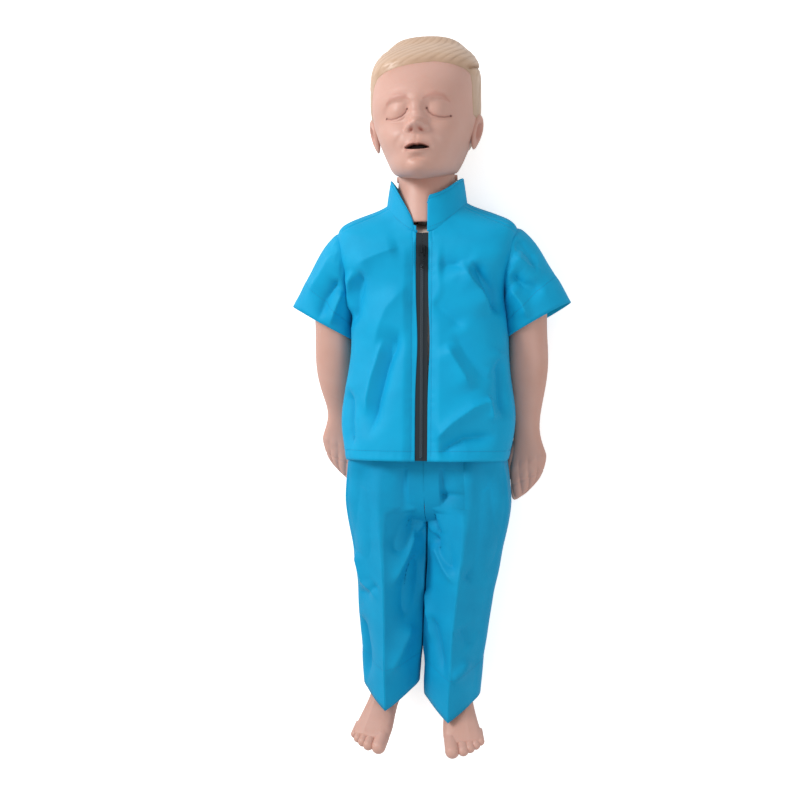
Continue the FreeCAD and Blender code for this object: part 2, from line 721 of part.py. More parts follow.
def make_zip():
    half_gap = zip_tooth / 2
    for side, name in ((left, "left"), (right, "right")):
        x0, x1 = sorted((side * 0.15, side * (zip_half - 0.1)))
        save("zip_tape_" + name, zip_strip(x0, x1, -cloth, -cloth + zip_tape_thick))
    teeth = []
    y0 = zip_hem_y + 4
    count = int((zip_top_y - 34 - y0) / zip_pitch)
    for k in range(count):
        y = y0 + k * zip_pitch
        z = zip_line(y + zip_pitch / 4) - cloth + zip_tape_thick + 0.1
        for side in (left, right):
            shift = zip_pitch / 2 if side == left else 0.0
            tooth = box(-half_gap * 0.6, half_gap * 0.6, y + shift, y + shift + zip_pitch * 0.42, z, z + 1.3)
            tooth.translate(Vector(side * half_gap * 0.75, 0, 0))
            teeth.append(tooth)
    save("zip_teeth", Part.makeCompound(teeth))
    y = zip_top_y - 34
    slope = math.degrees(math.atan2(zip_line(y + 20) - zip_line(y), 20))
    z = zip_line(y + 2) + 0.9
    place = Placement(Vector(0, y + 2, z), Rotation(Vector(1, 0, 0), slope)).toMatrix()
    body = box(-4.2, 4.2, 0, 13, 0, 2.6)
    body = body.makeFillet(1.0, [e for e in body.Edges if e.BoundBox.ZLength > 2])
    bridge = box(-1.2, 1.2, 2.5, 10.5, 2.6, 5.2).cut(box(-3, 3, 4.2, 8.8, 2.6, 4.2))
    for x in (-4.2, 2.2):
        body = body.fuse(box(x, x + 2, 0, 13, -1.3, 0.5))
    save("zip_slider", body.fuse(bridge).transformGeometry(place))
    bar_z = 3.4
    eye = Part.makeCylinder(3.6, pull_thick, Vector(0, -14, 0))
    pull = box(-2.2, 2.2, -11, 2, 0, pull_thick).fuse(box(-2.6, 2.6, 1, 8.1, 0, pull_thick)).fuse(eye)
    pull = pull.cut(box(-1.6, 1.6, 2.0, 7.1, -1, 3)).cut(Part.makeCylinder(1.9, 3, Vector(0, -14, -1)))
    pull.translate(Vector(0, 0, bar_z - pull_thick / 2))
    save("zip_pull", pull.transformGeometry(place))


def bent_airway(low_y, radius, reach):
    """Round bar that runs up the neck and turns to face the mouth."""
    corner = neck_point(mouth_y)
    bar = rod(neck_point(low_y), corner, radius)
    bar = bar.fuse(Part.makeSphere(radius, corner))
    return bar.fuse(rod(corner, corner + Vector(0, 0, reach), radius))


def make_neck():
    core = rod(neck_point(neck_seam_y), neck_point(pivot_y), neck_radius)
    neck = core.fuse(Part.makeSphere(neck_radius, neck_point(pivot_y)))
    socket_top = neck_shaft_top + 1.0
    neck = neck.cut(rod(neck_point(neck_seam_y - 5), neck_point(socket_top), neck_shaft_radius + running))
    pins = across(pivot_pin_radius + running, -80, 80, pivot_y, neck_height)
    pins = pins.cut(across(pivot_pin_radius + 1, -19, 19, pivot_y, neck_height))
    low_y = neck_shaft_low - 8.0
    save("neck", neck.cut(bent_airway(low_y, airway_radius + running, 60)).cut(pins))
    shaft = rod(neck_point(neck_shaft_low), neck_point(neck_shaft_top), neck_shaft_radius)
    save("neck_shaft", shaft.cut(rod(neck_point(low_y), neck_point(260), airway_radius + running)))
    tube_reach = 28.0
    tube = bent_airway(socket_top, airway_radius, tube_reach)
    save("airway_neck", tube.cut(bent_airway(socket_top - 12, airway_bore, tube_reach + 5)))
    low = rod(neck_point(neck_shaft_low - 0.8), neck_point(neck_shaft_top), airway_radius)
    save("airway_trunk", low.cut(rod(neck_point(low_y), neck_point(260), airway_bore)))
    rings = []
    for y, half, thick in lung_rows:
        rings.append(oval(neck_point(y), half, thick, thick, power=2.2, count=16))
    bag = skin(rounded(rings, 3.0, 3.0))
    save("lung_bag", bag.cut(box(-80, 80, neck_shaft_low - 1, 260, 0, 140)))


def head_ring(row, grow=0.0, count=32):
    y_front, z_front, y_back, z_back, half = row
    swell = 3.0 / (2.0 + math.cos(2 * math.pi / count))
    mid, depth = (z_front + z_back) / 2, (z_front - z_back) / 2 + grow
    points = []
    for k in range(count):
        angle = 2 * math.pi * k / count
        s, c = math.sin(angle), math.cos(angle)
        x = math.copysign(abs(s) ** 0.92, s) * (half + grow) * swell
        z = mid + math.copysign(abs(c) ** 0.92, c) * depth * swell
        points.append(Vector(x, lerp(y_back, y_front, (1 + c) / 2), z))
    return points


def make_head_skin(grow):
    rings = [head_ring(r, grow) for r in head_rows]
    first, last = rings[0], rings[-1]
    start = [[middle(first) + Vector(0, -grow, 0)] * len(first), shrunk(first, 0.5, Vector(0, -grow, 0))]
    rise = Vector(0, crown_bulge + grow, 0)
    end = [shrunk(last, 0.8, rise * 0.75), shrunk(last, 0.45, rise), [middle(last) + rise] * len(last)]
    return skin(start + rings + end)


def neck_clearance():
    """Room for the rounded neck at every tilt of the head."""
    pivot = neck_point(pivot_y)
    radius = neck_radius + gap
    room = [Part.makeSphere(radius, pivot)]
    for degrees in (-5, 0, 10, 20):
        a = math.radians(degrees)
        room.append(rod(pivot, pivot + Vector(0, -math.cos(a), -math.sin(a)) * 90, radius))
    return room


def ellipsoid(centre, size):
    ball = Part.makeSphere(1.0)
    m = Matrix()
    m.scale(size[0], size[1], size[2])
    ball = ball.transformGeometry(m)
    ball.translate(Vector(*centre))
    return ball


def face_outline(shift=0.0):
    """Prism in front of the hairline, from ear to ear and down past the chin."""
    half = [Vector(x - (shift if x else 0), y - shift, 0) for x, y in hairline]
    other = [Vector(-p.x, p.y, 0) for p in reversed(half[:-1])]
    wide, low_y, high_y = 90, 250, half[0].y
    low = [Vector(-wide, high_y, 0), Vector(-wide, low_y, 0), Vector(wide, low_y, 0), Vector(wide, high_y, 0)]
    points = half + other + low
    face = Part.Face(Part.makePolygon(points + [points[0]]))
    face.translate(Vector(0, 0, hairline_split + shift))
    return face.extrude(Vector(0, 0, 200))


def mouth_point(height):
    return Vector(0, mouth_y, height)


def parted_lips():
    """Lens-shaped way through the lips, straight in to the mouth cup."""
    rim = Part.Ellipse(mouth_point(cup_floor), mouth_half, mouth_gape).toShape()
    return Part.Face(Part.Wire(rim)).extrude(Vector(0, 0, 60))


def make_head():
    outer = make_head_skin(0.0)
    inner = make_head_skin(-head_skin)
    room = neck_clearance()
    nose = skin(rounded([
        oval(Vector(0, 368, 163), 6.0, 5.0, 8.0, count=12),
        oval(Vector(0, 358, 167), 6.0, 6.0, 8.0, count=12),
        oval(Vector(0, 349, 172), 8.0, 12.0, 8.0, count=12),
        oval(Vector(0, 342.5, 174), 11.0, 19.0, 10.0, count=12),
        oval(Vector(0, 338.5, 174), 11.5, 15.0, 10.0, count=12),
    ], 3.0, 2.0))
    face = outer.fuse(nose)
    for side in (left, right):
        ear = ellipsoid((side * 68.5, 355.0, 90.0), (6.5, 22.0, 11.5))
        ear = ear.cut(ellipsoid((side * 74.5, 357.0, 93.0), (3.6, 13.0, 7.0)))
        face = face.fuse(ear)
        face = face.fuse(ellipsoid((side * 27.0, 361.0, 155.0), (14.5, 9.5, 9.0)))
    face = face.fuse(ellipsoid((0, 322.0, 164.0), (15.5, 4.2, 8.5)))
    face = face.fuse(ellipsoid((0, 312.0, 163.5), (13.5, 4.8, 9.0)))
    face = face.fuse(ellipsoid((0, 292.0, 152.0), (16.0, 9.0, 13.0)))
    face = face.cut(inner)
    face = face.common(face_outline(0.3))
    face = face.cut(parted_lips())
    for tool in room:
        face = face.cut(tool)
    save("face_skin", biggest(face))
    hair = make_head_skin(hair_rise).cut(make_head_skin(-skull_wall))
    hair = hair.cut(face_outline(0.0)).cut(box(-100, 100, 200, pivot_y, -20, 200))
    pin_end = neck_radius + 2.0
    hair = hair.cut(across(pivot_pin_radius + running, -pin_end, pin_end, pivot_y, neck_height))
    hair = hair.cut(box(-100, 100, 200, 500, -30, 0))
    for tool in room:
        hair = hair.cut(tool)
    save("hair_shell", biggest(hair))
    base = make_head_skin(-head_skin - 1.2).common(box(-80, 80, 298, 352, 10, 150))
    for tool in room:
        base = base.cut(tool)
    base = base.cut(rod(mouth_point(60), mouth_point(cup_floor + 5), airway_radius + running))
    base = base.cut(across(pivot_pin_radius + running, -80, 80, pivot_y, neck_height))
    save("skull_frame", biggest(base))
    bore = rod(mouth_point(100), mouth_point(cup_floor + cup_height), airway_bore)
    save("airway_head", rod(mouth_point(113), mouth_point(cup_floor - 0.2), airway_radius).cut(bore))
    cup = rod(mouth_point(cup_floor), mouth_point(cup_floor + cup_height), mouth_half + 1.0)
    cup = cup.cut(rod(mouth_point(cup_floor + 2), mouth_point(cup_floor + 20), mouth_half - 1.0)).cut(bore)
    save("mouth_cup", cup.common(make_head_skin(-head_skin - 0.3)))
    pins = [across(pivot_pin_radius, *sorted((side * 20, side * pin_end)), pivot_y, neck_height)
            for side in (left, right)]
    save("head_pivot_pins", Part.makeCompound(pins))


def build():
    make_trunk()
    make_chest()
    for side, name in ((left, "left"), (right, "right")):
        make_leg(side, name)
        make_trouser_leg(side, name)
        make_arm(side, name)
        make_sleeve(side, name)
    make_trouser_seat()
    make_jacket()
    make_collar()
    make_zip()
    make_neck()
    make_head()


os.makedirs("parts", exist_ok=True)
build()
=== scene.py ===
import math
import bmesh
import bpy
import numpy as np
from mathutils import Matrix, Vector
from mathutils.bvhtree import BVHTree


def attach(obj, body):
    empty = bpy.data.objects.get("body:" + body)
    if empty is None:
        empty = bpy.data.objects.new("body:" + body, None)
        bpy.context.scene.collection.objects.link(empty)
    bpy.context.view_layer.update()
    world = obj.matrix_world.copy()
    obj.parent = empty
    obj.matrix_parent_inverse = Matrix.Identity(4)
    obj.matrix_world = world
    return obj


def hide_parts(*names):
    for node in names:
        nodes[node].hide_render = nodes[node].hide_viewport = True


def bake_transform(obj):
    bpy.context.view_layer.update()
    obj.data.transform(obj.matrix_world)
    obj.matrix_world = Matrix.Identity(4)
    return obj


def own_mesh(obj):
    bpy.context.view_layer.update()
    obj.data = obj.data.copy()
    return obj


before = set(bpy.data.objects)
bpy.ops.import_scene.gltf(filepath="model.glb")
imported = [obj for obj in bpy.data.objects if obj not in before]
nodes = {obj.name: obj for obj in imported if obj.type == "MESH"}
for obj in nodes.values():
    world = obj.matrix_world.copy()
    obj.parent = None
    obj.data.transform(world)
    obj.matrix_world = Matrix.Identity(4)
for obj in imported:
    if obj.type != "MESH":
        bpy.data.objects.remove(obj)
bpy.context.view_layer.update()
mm = 0.001
sides = ((1, "left"), (-1, "right"))
print("frame loaded:", len(nodes), "nodes")


# Colour, nodes and materials

def toLinear(hexColour):
    parts = [int(hexColour[i:i + 2], 16) / 255 for i in (1, 3, 5)]
    return tuple(c / 12.92 if c <= 0.04045 else ((c + 0.055) / 1.055) ** 2.4 for c in parts) + (1,)


def addNode(tree, kind, settings=None, links=None):
    node = tree.nodes.new(kind)
    for key, value in (settings or {}).items():
        if isinstance(key, int) or key[0].isupper():
            node.inputs[key].default_value = value
        else:
            setattr(node, key, value)
    for key, source in (links or {}).items():
        tree.links.new(source, node.inputs[key])
    return node


def addNoise(tree, place, scale, detail, output="Object"):
    settings = {"Scale": scale, "Detail": detail}
    return addNode(tree, "ShaderNodeTexNoise", settings, {"Vector": place.outputs[output]}).outputs["Fac"]


def addBump(tree, shader, height, strength, distance=0.0002):
    settings = {"Strength": strength, "Distance": distance}
    bump = addNode(tree, "ShaderNodeBump", settings, {"Height": height})
    tree.links.new(bump.outputs["Normal"], shader.inputs["Normal"])


def startMaterial(name, colour, roughness, settings=None):
    material = bpy.data.materials.new(name)
    material.use_nodes = True
    tree = material.node_tree
    shader = tree.nodes["Principled BSDF"]
    shader.inputs["Base Color"].default_value = toLinear(colour)
    shader.inputs["Roughness"].default_value = roughness
    for key, value in (settings or {}).items():
        shader.inputs[key].default_value = value
    return material, tree, shader


def mixColours(tree, factor, first, second):
    mix = addNode(tree, "ShaderNodeMix", {"data_type": "RGBA"}, {0: factor})
    for slot, colour in ((6, first), (7, second)):
        if isinstance(colour, str):
            mix.inputs[slot].default_value = toLinear(colour)
        else:
            tree.links.new(colour, mix.inputs[slot])
    return mix.outputs[2]


def softVinyl():
    # Soft PVC, slush-moulded in a satin mould: even pinkish flesh colour, broad dull highlights,
    # a little light passing through thin places
    skin = {"base": "#D3A89B", "deep": "#C89683", "tintAndShade": "#B26A5C", "lidCreaseShade": "#4A1712", "openingShade": "#2A0808"}
    material, tree, shader = startMaterial("softVinylSkin", skin["base"], 0.46, {
        "Subsurface Weight": 0.12, "Subsurface Scale": 0.004, "Specular IOR Level": 0.42, "IOR": 1.53})
    shader.inputs["Subsurface Radius"].default_value = (1, 0.45, 0.3)
    place = addNode(tree, "ShaderNodeTexCoord")
    tone = mixColours(tree, addNoise(tree, place, 22, 3), skin["base"], skin["deep"])
    # layers over the flesh colour: the brows' tint, which is partly painted colour and partly painted shade,
    # and painted shade in the lid creases, the eye corners, the nostrils, the mouth and round it, and the
    # ears' bowls
    for name in ("tintAndShade", "lidCreaseShade", "openingShade"):
        painted = addNode(tree, "ShaderNodeAttribute", {"attribute_name": name})
        tone = mixColours(tree, painted.outputs["Fac"], tone, skin[name])
    tree.links.new(tone, shader.inputs["Base Color"])
    addBump(tree, shader, addNoise(tree, place, 1400, 2), 0.12, 0.0003)
    return material


def paintedHair():
    # The hair is moulded in the hard shell and sprayed pale blond; painted shade makes it browner in its
    # grooves, and it is unevenly browner at random
    paint = {"high": "#D6B69C", "low": "#A88365", "roughness": 0.36}
    material, tree, shader = startMaterial("paintedBlondHair", paint["high"], paint["roughness"], {
        "Specular IOR Level": 0.45})
    groove = addNode(tree, "ShaderNodeAttribute", {"attribute_name": "groove"})
    place = addNode(tree, "ShaderNodeTexCoord")
    total = addNode(tree, "ShaderNodeMath", {"operation": "MULTIPLY_ADD", 1: 0.3, "use_clamp": True},
                    {0: addNoise(tree, place, 60, 4), 2: groove.outputs["Fac"]})
    tone = mixColours(tree, total.outputs[0], paint["high"], paint["low"])
    tree.links.new(tone, shader.inputs["Base Color"])
    return material


def twillCloth(name, light, dark):
    # Polyester and cotton twill, 0.4 mm threads; the diagonal rib is drawn at 1.1 mm so that it shows
    twill = {"rib": 0.0011, "roughness": 0.6, "sheen": 0.04, "fleck": 0.22}
    material, tree, shader = startMaterial(name, light, twill["roughness"], {
        "Sheen Weight": twill["sheen"], "Sheen Roughness": 0.5, "Specular IOR Level": 0.18})
    shader.inputs["Sheen Tint"].default_value = toLinear("#BFEFFF")
    place = addNode(tree, "ShaderNodeTexCoord")
    rib = addNode(tree, "ShaderNodeTexWave", {
        "wave_type": "BANDS", "bands_direction": "DIAGONAL", "Scale": 2 * math.pi / (10 * twill["rib"]),
        "Distortion": 0.4, "Detail": 1, "Detail Scale": 2}, {"Vector": place.outputs["UV"]})
    ground = mixColours(tree, addNoise(tree, place, 35, 3), light, dark)
    share = addNode(tree, "ShaderNodeMath", {"operation": "MULTIPLY", 1: twill["fleck"]},
                    {0: addNoise(tree, place, 900, 1, "UV")})
    tree.links.new(mixColours(tree, share.outputs[0], ground, dark), shader.inputs["Base Color"])
    addBump(tree, shader, rib.outputs["Fac"], 0.22)
    return material


def plainMaterial(name, colour, roughness, noiseScale, strength=0.08, settings=None):
    material, tree, shader = startMaterial(name, colour, roughness, settings)
    grain = addNoise(tree, addNode(tree, "ShaderNodeTexCoord"), noiseScale, 3)
    uneven = {"To Min": roughness * 0.85, "To Max": min(1, roughness * 1.2)}
    rough = addNode(tree, "ShaderNodeMapRange", uneven, {"Value": grain})
    tree.links.new(rough.outputs[0], shader.inputs["Roughness"])
    addBump(tree, shader, grain, strength)
    return material


skinVinyl = softVinyl()
blondHair = paintedHair()
jacketTwill = twillCloth("jacketTwillCyan", "#00ABD9", "#0099C8")
trouserTwill = twillCloth("trouserTwillBlue", "#00A0CE", "#008DBB")
# spun polyester thread, woven nylon tape, moulded teeth and a lacquered slider
stitchThread = plainMaterial("polyesterThreadBlue", "#0074A6", 0.6, 2000)
zipTape = plainMaterial("wovenZipTapeBlack", "#1C262D", 0.85, 1500, 0.3)
zipCoil = plainMaterial("mouldedAcetalTeeth", "#56616A", 0.35, 800)
zipMetal = plainMaterial("lacqueredZincSlider", "#20262B", 0.32, 600, 0.05, {"Metallic": 0.6})
# inner parts: blow-moulded shells, glossier mouldings, bright zinc plate, clear tube, dark mouth lining
shellPlastic = plainMaterial("blowMouldedPolyethylene", "#D9C4B6", 0.5, 500)
innerPlastic = plainMaterial("mouldedAbsWhite", "#D8D6CF", 0.4, 400)
springSteel = plainMaterial("zincPlatedSteel", "#B9BBBD", 0.3, 700, 0.04, {"Metallic": 1})
airTube = plainMaterial("siliconeAirwayClear", "#C9CFCF", 0.35, 300)
mouthRubber = plainMaterial("darkMouthRubber", "#3A0B0D", 0.4, 400)
print("materials made")


# Shape functions

def signedPower(value, exponent):
    return np.sign(value) * np.abs(value) ** exponent


def ramp(low, high, value):
    # a smooth step from 0 at low to 1 at high
    t = np.clip((value - low) / (high - low), 0, 1)
    return t * t * (3 - 2 * t)


def bell(value, width):
    return np.exp(-(value / width) ** 2)


def roundTurn(u, start=0):
    # sine and cosine of a full turn, which begins at the top, or underneath with a start of 0.5
    turn = 2 * math.pi * (u - start)
    return np.sin(turn), np.cos(turn)


def splineBasis(count, t):
    # weights of a clamped cubic spline with this many rows of poles
    spans = count - 3
    knots = np.concatenate([np.zeros(3), np.arange(spans + 1), np.full(3, spans)])
    x = np.clip(t, 0, 1 - 1e-9) * spans
    basis = [((knots[i] <= x) & (x < knots[i + 1])).astype(float) for i in range(count + 3)]
    for degree in (1, 2, 3):
        raised = []
        for i in range(len(basis) - 1):
            total = np.zeros_like(x)
            if knots[i + degree] > knots[i]:
                total += (x - knots[i]) / (knots[i + degree] - knots[i]) * basis[i]
            if knots[i + degree + 1] > knots[i + 1]:
                total += (knots[i + degree + 1] - x) / (knots[i + degree + 1] - knots[i + 1]) * basis[i + 1]
            raised.append(total)
        basis = raised
    return np.stack(basis[:count], axis=-1)


def splineRows(rows, v):
    # each column of a table of stations, run smoothly from its first row to its last
    return (splineBasis(len(rows), v) @ rows).T


def alongPath(x, y, path):
    # distance to a path, the side of it as a sign, and the share of its length
    best = np.full(x.shape, 1e9)
    side, share = np.zeros(x.shape), np.zeros(x.shape)
    points = np.array(path, float)
    steps = np.hypot(*(points[1:] - points[:-1]).T)
    done = 0
    for start, end, step in zip(points[:-1], points[1:], steps):
        dx, dy = (end - start) / step
        t = np.clip(((x - start[0]) * dx + (y - start[1]) * dy), 0, step)
        ox, oy = x - start[0] - t * dx, y - start[1] - t * dy
        distance = np.hypot(ox, oy)
        nearer = distance < best
        best = np.where(nearer, distance, best)
        side = np.where(nearer, np.sign(dx * oy - dy * ox), side)
        share = np.where(nearer, (done + t) / steps.sum(), share)
        done += step
    return best, side, share


def foldHeight(x, y, folds, sharpness=1.1):
    # each fold: path, height, width on its left and on its right
    total = np.zeros(x.shape)
    for path, height, leftWidth, rightWidth in folds:
        distance, side, share = alongPath(x, y, path)
        width = np.where(side > 0, leftWidth, rightWidth)
        ends = ramp(0, 0.22, share) * ramp(1, 0.7, share)
        total += height * np.exp(-(distance / width) ** sharpness) * ends
    return total


def ripple(x, y, size, seed, waves=7):
    # soft uneven waves of cloth
    random = np.random.default_rng(seed)
    total = np.zeros(x.shape)
    for _ in range(waves):
        angle, phase = random.uniform(0, math.pi), random.uniform(0, 2 * math.pi)
        scale = size * random.uniform(0.6, 1.8)
        total += np.sin((x * math.cos(angle) + y * math.sin(angle)) * 2 * math.pi / scale + phase)
    return total / waves


def turnedHem(hem, turned):
    # cloth folded up inside the hem, with the groove of its stitches
    edge = 0.5 * ramp(turned["outer"], turned["inner"], hem)
    return edge - turned["groove"] * bell(hem - turned["stitch"], turned["spread"])


# Mesh helpers

def vertexArray(bm):
    return np.array([v.co for v in bm.verts], float)


def setVertices(bm, places):
    # places are in mm
    for v, p in zip(bm.verts, places * mm):
        v.co = p
    bm.normal_update()


def normalArray(bm):
    return np.array([v.normal for v in bm.verts], float)


def setLayer(bm, name, values):
    layer = bm.verts.layers.float.new(name)
    for v in bm.verts:
        v[layer] = values[v.index]


def raisePoints(places, normals, lift, lowest=0.3):
    # moves points, in mm, along their normals and keeps them off the floor
    places = places + normals * lift[:, None]
    places[:, 2] = np.maximum(places[:, 2], lowest)
    return places


def mergeSides(bm, distance=1e-5):
    bmesh.ops.remove_doubles(bm, verts=bm.verts, dist=distance)
    bm.normal_update()


def dropFaces(bm, hidden):
    # deletes the faces whose middle, in mm, passes a test
    found = [f for f in bm.faces if hidden(f.calc_center_median() / mm)]
    bmesh.ops.delete(bm, geom=found, context="FACES")


def copyNode(name):
    bm = bmesh.new()
    bm.from_mesh(nodes[name].data)
    mergeSides(bm)
    return bm


def bodySurface(names):
    # CAD nodes as one search tree, for cloth that lies over them
    bm = bmesh.new()
    for name in names:
        bm.from_mesh(nodes[name].data)
    tree = BVHTree.FromBMesh(bm)
    bm.free()
    return tree


def keepAbove(places, chosen, tree, room, reach=2.2):
    # lifts the chosen points, in mm, off what lies under them and beside them
    for i in np.nonzero(chosen)[0]:
        for dx, dy in ((0, 0), (reach, 0), (-reach, 0), (0, reach), (0, -reach)):
            above = Vector((places[i][0] + dx, places[i][1] + dy, 300)) * mm
            hit = tree.ray_cast(above, Vector((0, 0, -1)))[0]
            if hit is not None and places[i][2] < hit.z / mm + room:
                places[i][2] = hit.z / mm + room


def gridSheet(piece, place, side=1):
    # a grid whose corners are moved onto a skin, closer together at both ends of u where frontShare says;
    # its own UV map is in metres of cloth, and it comes with its points in mm and their normals
    bm = bmesh.new()
    bmesh.ops.create_grid(bm, x_segments=piece["mesh"][0], y_segments=piece["mesh"][1], size=1)
    flat = vertexArray(bm)
    uv = (flat[:, :2] - flat[:, :2].min(0)) / np.ptp(flat[:, :2], axis=0)
    uv[:, 0] -= piece.get("frontShare", 0) * np.sin(2 * math.pi * uv[:, 0])
    layer = bm.loops.layers.uv.new("clothMap")
    for face in bm.faces:
        for loop in face.loops:
            u, v = uv[loop.vert.index]
            loop[layer].uv = (u * piece["cloth"][0], v * piece["cloth"][1])
    setVertices(bm, place(uv[:, 0], uv[:, 1]))
    if piece.get("joined"):
        mergeSides(bm, 1e-6)
    faceOutwards(bm, side * piece["middle"][0], piece["middle"][1])
    return bm, uv, vertexArray(bm) / mm, normalArray(bm)


def faceOutwards(bm, x, z):
    # turns a sheet so that its faces look away from a line along the body
    total = 0
    for f in bm.faces:
        out = f.calc_center_median() - Vector((x, 0, z)) * mm
        total += out.x * f.normal.x + out.z * f.normal.z
    if total < 0:
        bmesh.ops.reverse_faces(bm, faces=bm.faces)
        bm.normal_update()


def finishPiece(name, bm, material, body=None, replaced=(), thickness=0):
    mesh = bpy.data.meshes.new(name)
    bm.to_mesh(mesh)
    bm.free()
    mesh.polygons.foreach_set("use_smooth", [True] * len(mesh.polygons))
    piece = bpy.data.objects.new(name, mesh)
    bpy.context.scene.collection.objects.link(piece)
    mesh.materials.append(material)
    if thickness:
        solid = piece.modifiers.new("cloth", "SOLIDIFY")
        solid.thickness = thickness * mm
        solid.offset = -1
        solid.use_rim = True
    if body:
        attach(piece, body)
    if replaced:
        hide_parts(*replaced)
    return piece


# Stitches

stitch = {"pitch": 3, "halfLength": 0.38, "radius": 0.34, "rise": 0.05}


def stitchRow(bm, points, normals):
    # lockstitch lying on cloth: one small bead of thread for each stitch
    pitch, radius = stitch["pitch"], stitch["radius"]
    points, normals = np.array(points), np.array(normals)
    steps = np.linalg.norm(np.diff(points, axis=0), axis=1)
    done = np.concatenate([[0], np.cumsum(steps)])
    marks = np.arange(pitch / 2, done[-1], pitch)

    def atMarks(marks, values):
        return np.stack([np.interp(marks, done, values[:, k]) for k in range(3)], axis=1)

    ahead, facing = atMarks(marks + 0.5, points), atMarks(marks, normals)
    for place, following, normal in zip(atMarks(marks, points), ahead, facing):
        along = Vector(following - place).normalized()
        raised = Vector(normal).normalized()
        beside = along.cross(raised).normalized()
        middle = Vector(place) + raised * stitch["rise"]
        reach = along * pitch * stitch["halfLength"]
        ends = [bm.verts.new(q * mm) for q in (middle + reach, middle - reach)]
        ring = [bm.verts.new((middle + q * radius) * mm) for q in (beside, raised, -beside, -raised)]
        for k in range(4):
            bm.faces.new((ends[0], ring[k], ring[k - 1]))
            bm.faces.new((ends[1], ring[k - 1], ring[k]))


def gridRow(grid, share):
    # one row of a grid of points, at a share of its height
    place = share * (len(grid) - 1)
    k = min(int(place), len(grid) - 2)
    return grid[k] + (grid[k + 1] - grid[k]) * (place - k)


def stitchLevels(bm, places, piece, shares):
    # rows of stitches across a sheet, each at a share of its height, and the sheet's points and normals
    stitches = bmesh.new()
    grid, facing = (values.reshape(-1, piece["mesh"][0] + 1, 3) for values in (places, normalArray(bm)))
    for share in shares:
        stitchRow(stitches, gridRow(grid, share), gridRow(facing, share))
    return stitches, grid, facing


# Camera, lights and floor

view = {"place": (178, 0, 1350), "aim": (-36, 0, 80), "lens": 42.8}
lights = {
    "key": {"place": (-1.8, 1.2, 1.55), "power": 44, "size": 1},
    "fill": {"place": (1.4, -0.9, 2), "power": 10, "size": 1.2},
    "aim": (0, 0, 0.05), "sky": 0.62, "floorGlow": 0.55, "floorHalf": 6,
}


def makeCamera():
    camera = bpy.data.cameras.new("camera")
    camera.lens, camera.sensor_width = view["lens"], 36
    camera.clip_start, camera.clip_end = 0.05, 20
    holder = bpy.data.objects.new("camera", camera)
    bpy.context.scene.collection.objects.link(holder)
    place, aim = Vector(view["place"]) * mm, Vector(view["aim"]) * mm
    ahead = (aim - place).normalized()
    right = ahead.cross(Vector((0, 1, 0))).normalized()
    above = right.cross(ahead)
    turn = [[right[i], above[i], -ahead[i]] for i in range(3)]
    holder.matrix_world = Matrix.Translation(place) @ Matrix(turn).to_4x4()
    bpy.context.scene.camera = holder


def addLamp(name, settings):
    lamp = bpy.data.lights.new(name, "AREA")
    lamp.energy, lamp.shape, lamp.size = settings["power"], "DISK", settings["size"]
    holder = bpy.data.objects.new(name, lamp)
    holder.location = settings["place"]
    holder.rotation_mode = "QUATERNION"
    aim = Vector(lights["aim"]) - Vector(settings["place"])
    holder.rotation_quaternion = aim.to_track_quat("-Z", "Y")
    bpy.context.scene.collection.objects.link(holder)


def makeSky():
    world = bpy.data.worlds.new("studio")
    bpy.context.scene.world = world
    world.use_nodes = True
    sky = world.node_tree.nodes["Background"]
    sky.inputs["Color"].default_value = toLinear("#F4F7FA")
    sky.inputs["Strength"].default_value = lights["sky"]


def makeFloor():
    # matt floor paint, which the camera sees a little brighter than it is lit
    paint, tree, shader = startMaterial("paleFloorPaint", "#F6F6F5", 0.8)
    path = addNode(tree, "ShaderNodeLightPath")
    glow = addNode(tree, "ShaderNodeMath", {"operation": "MULTIPLY", 1: lights["floorGlow"]},
                   {0: path.outputs["Is Camera Ray"]})
    shader.inputs["Emission Color"].default_value = (1, 1, 1, 1)
    tree.links.new(glow.outputs[0], shader.inputs["Emission Strength"])
    bm = bmesh.new()
    bmesh.ops.create_grid(bm, x_segments=1, y_segments=1, size=lights["floorHalf"])
    floor = finishPiece("floor", bm, paint)


makeCamera()
addLamp("keySoft", lights["key"])
addLamp("fillSoft", lights["fill"])
makeSky()
makeFloor()
bpy.context.scene.view_settings.view_transform = "Standard"
print("camera and stage ready")


# Jacket body

# the shoulder's axis, which the armholes and the tops of the sleeves turn about
armhole = {"x": 111.5, "y": 191, "z": 62, "lean": 10.4, "radius": 35, "inside": -18}

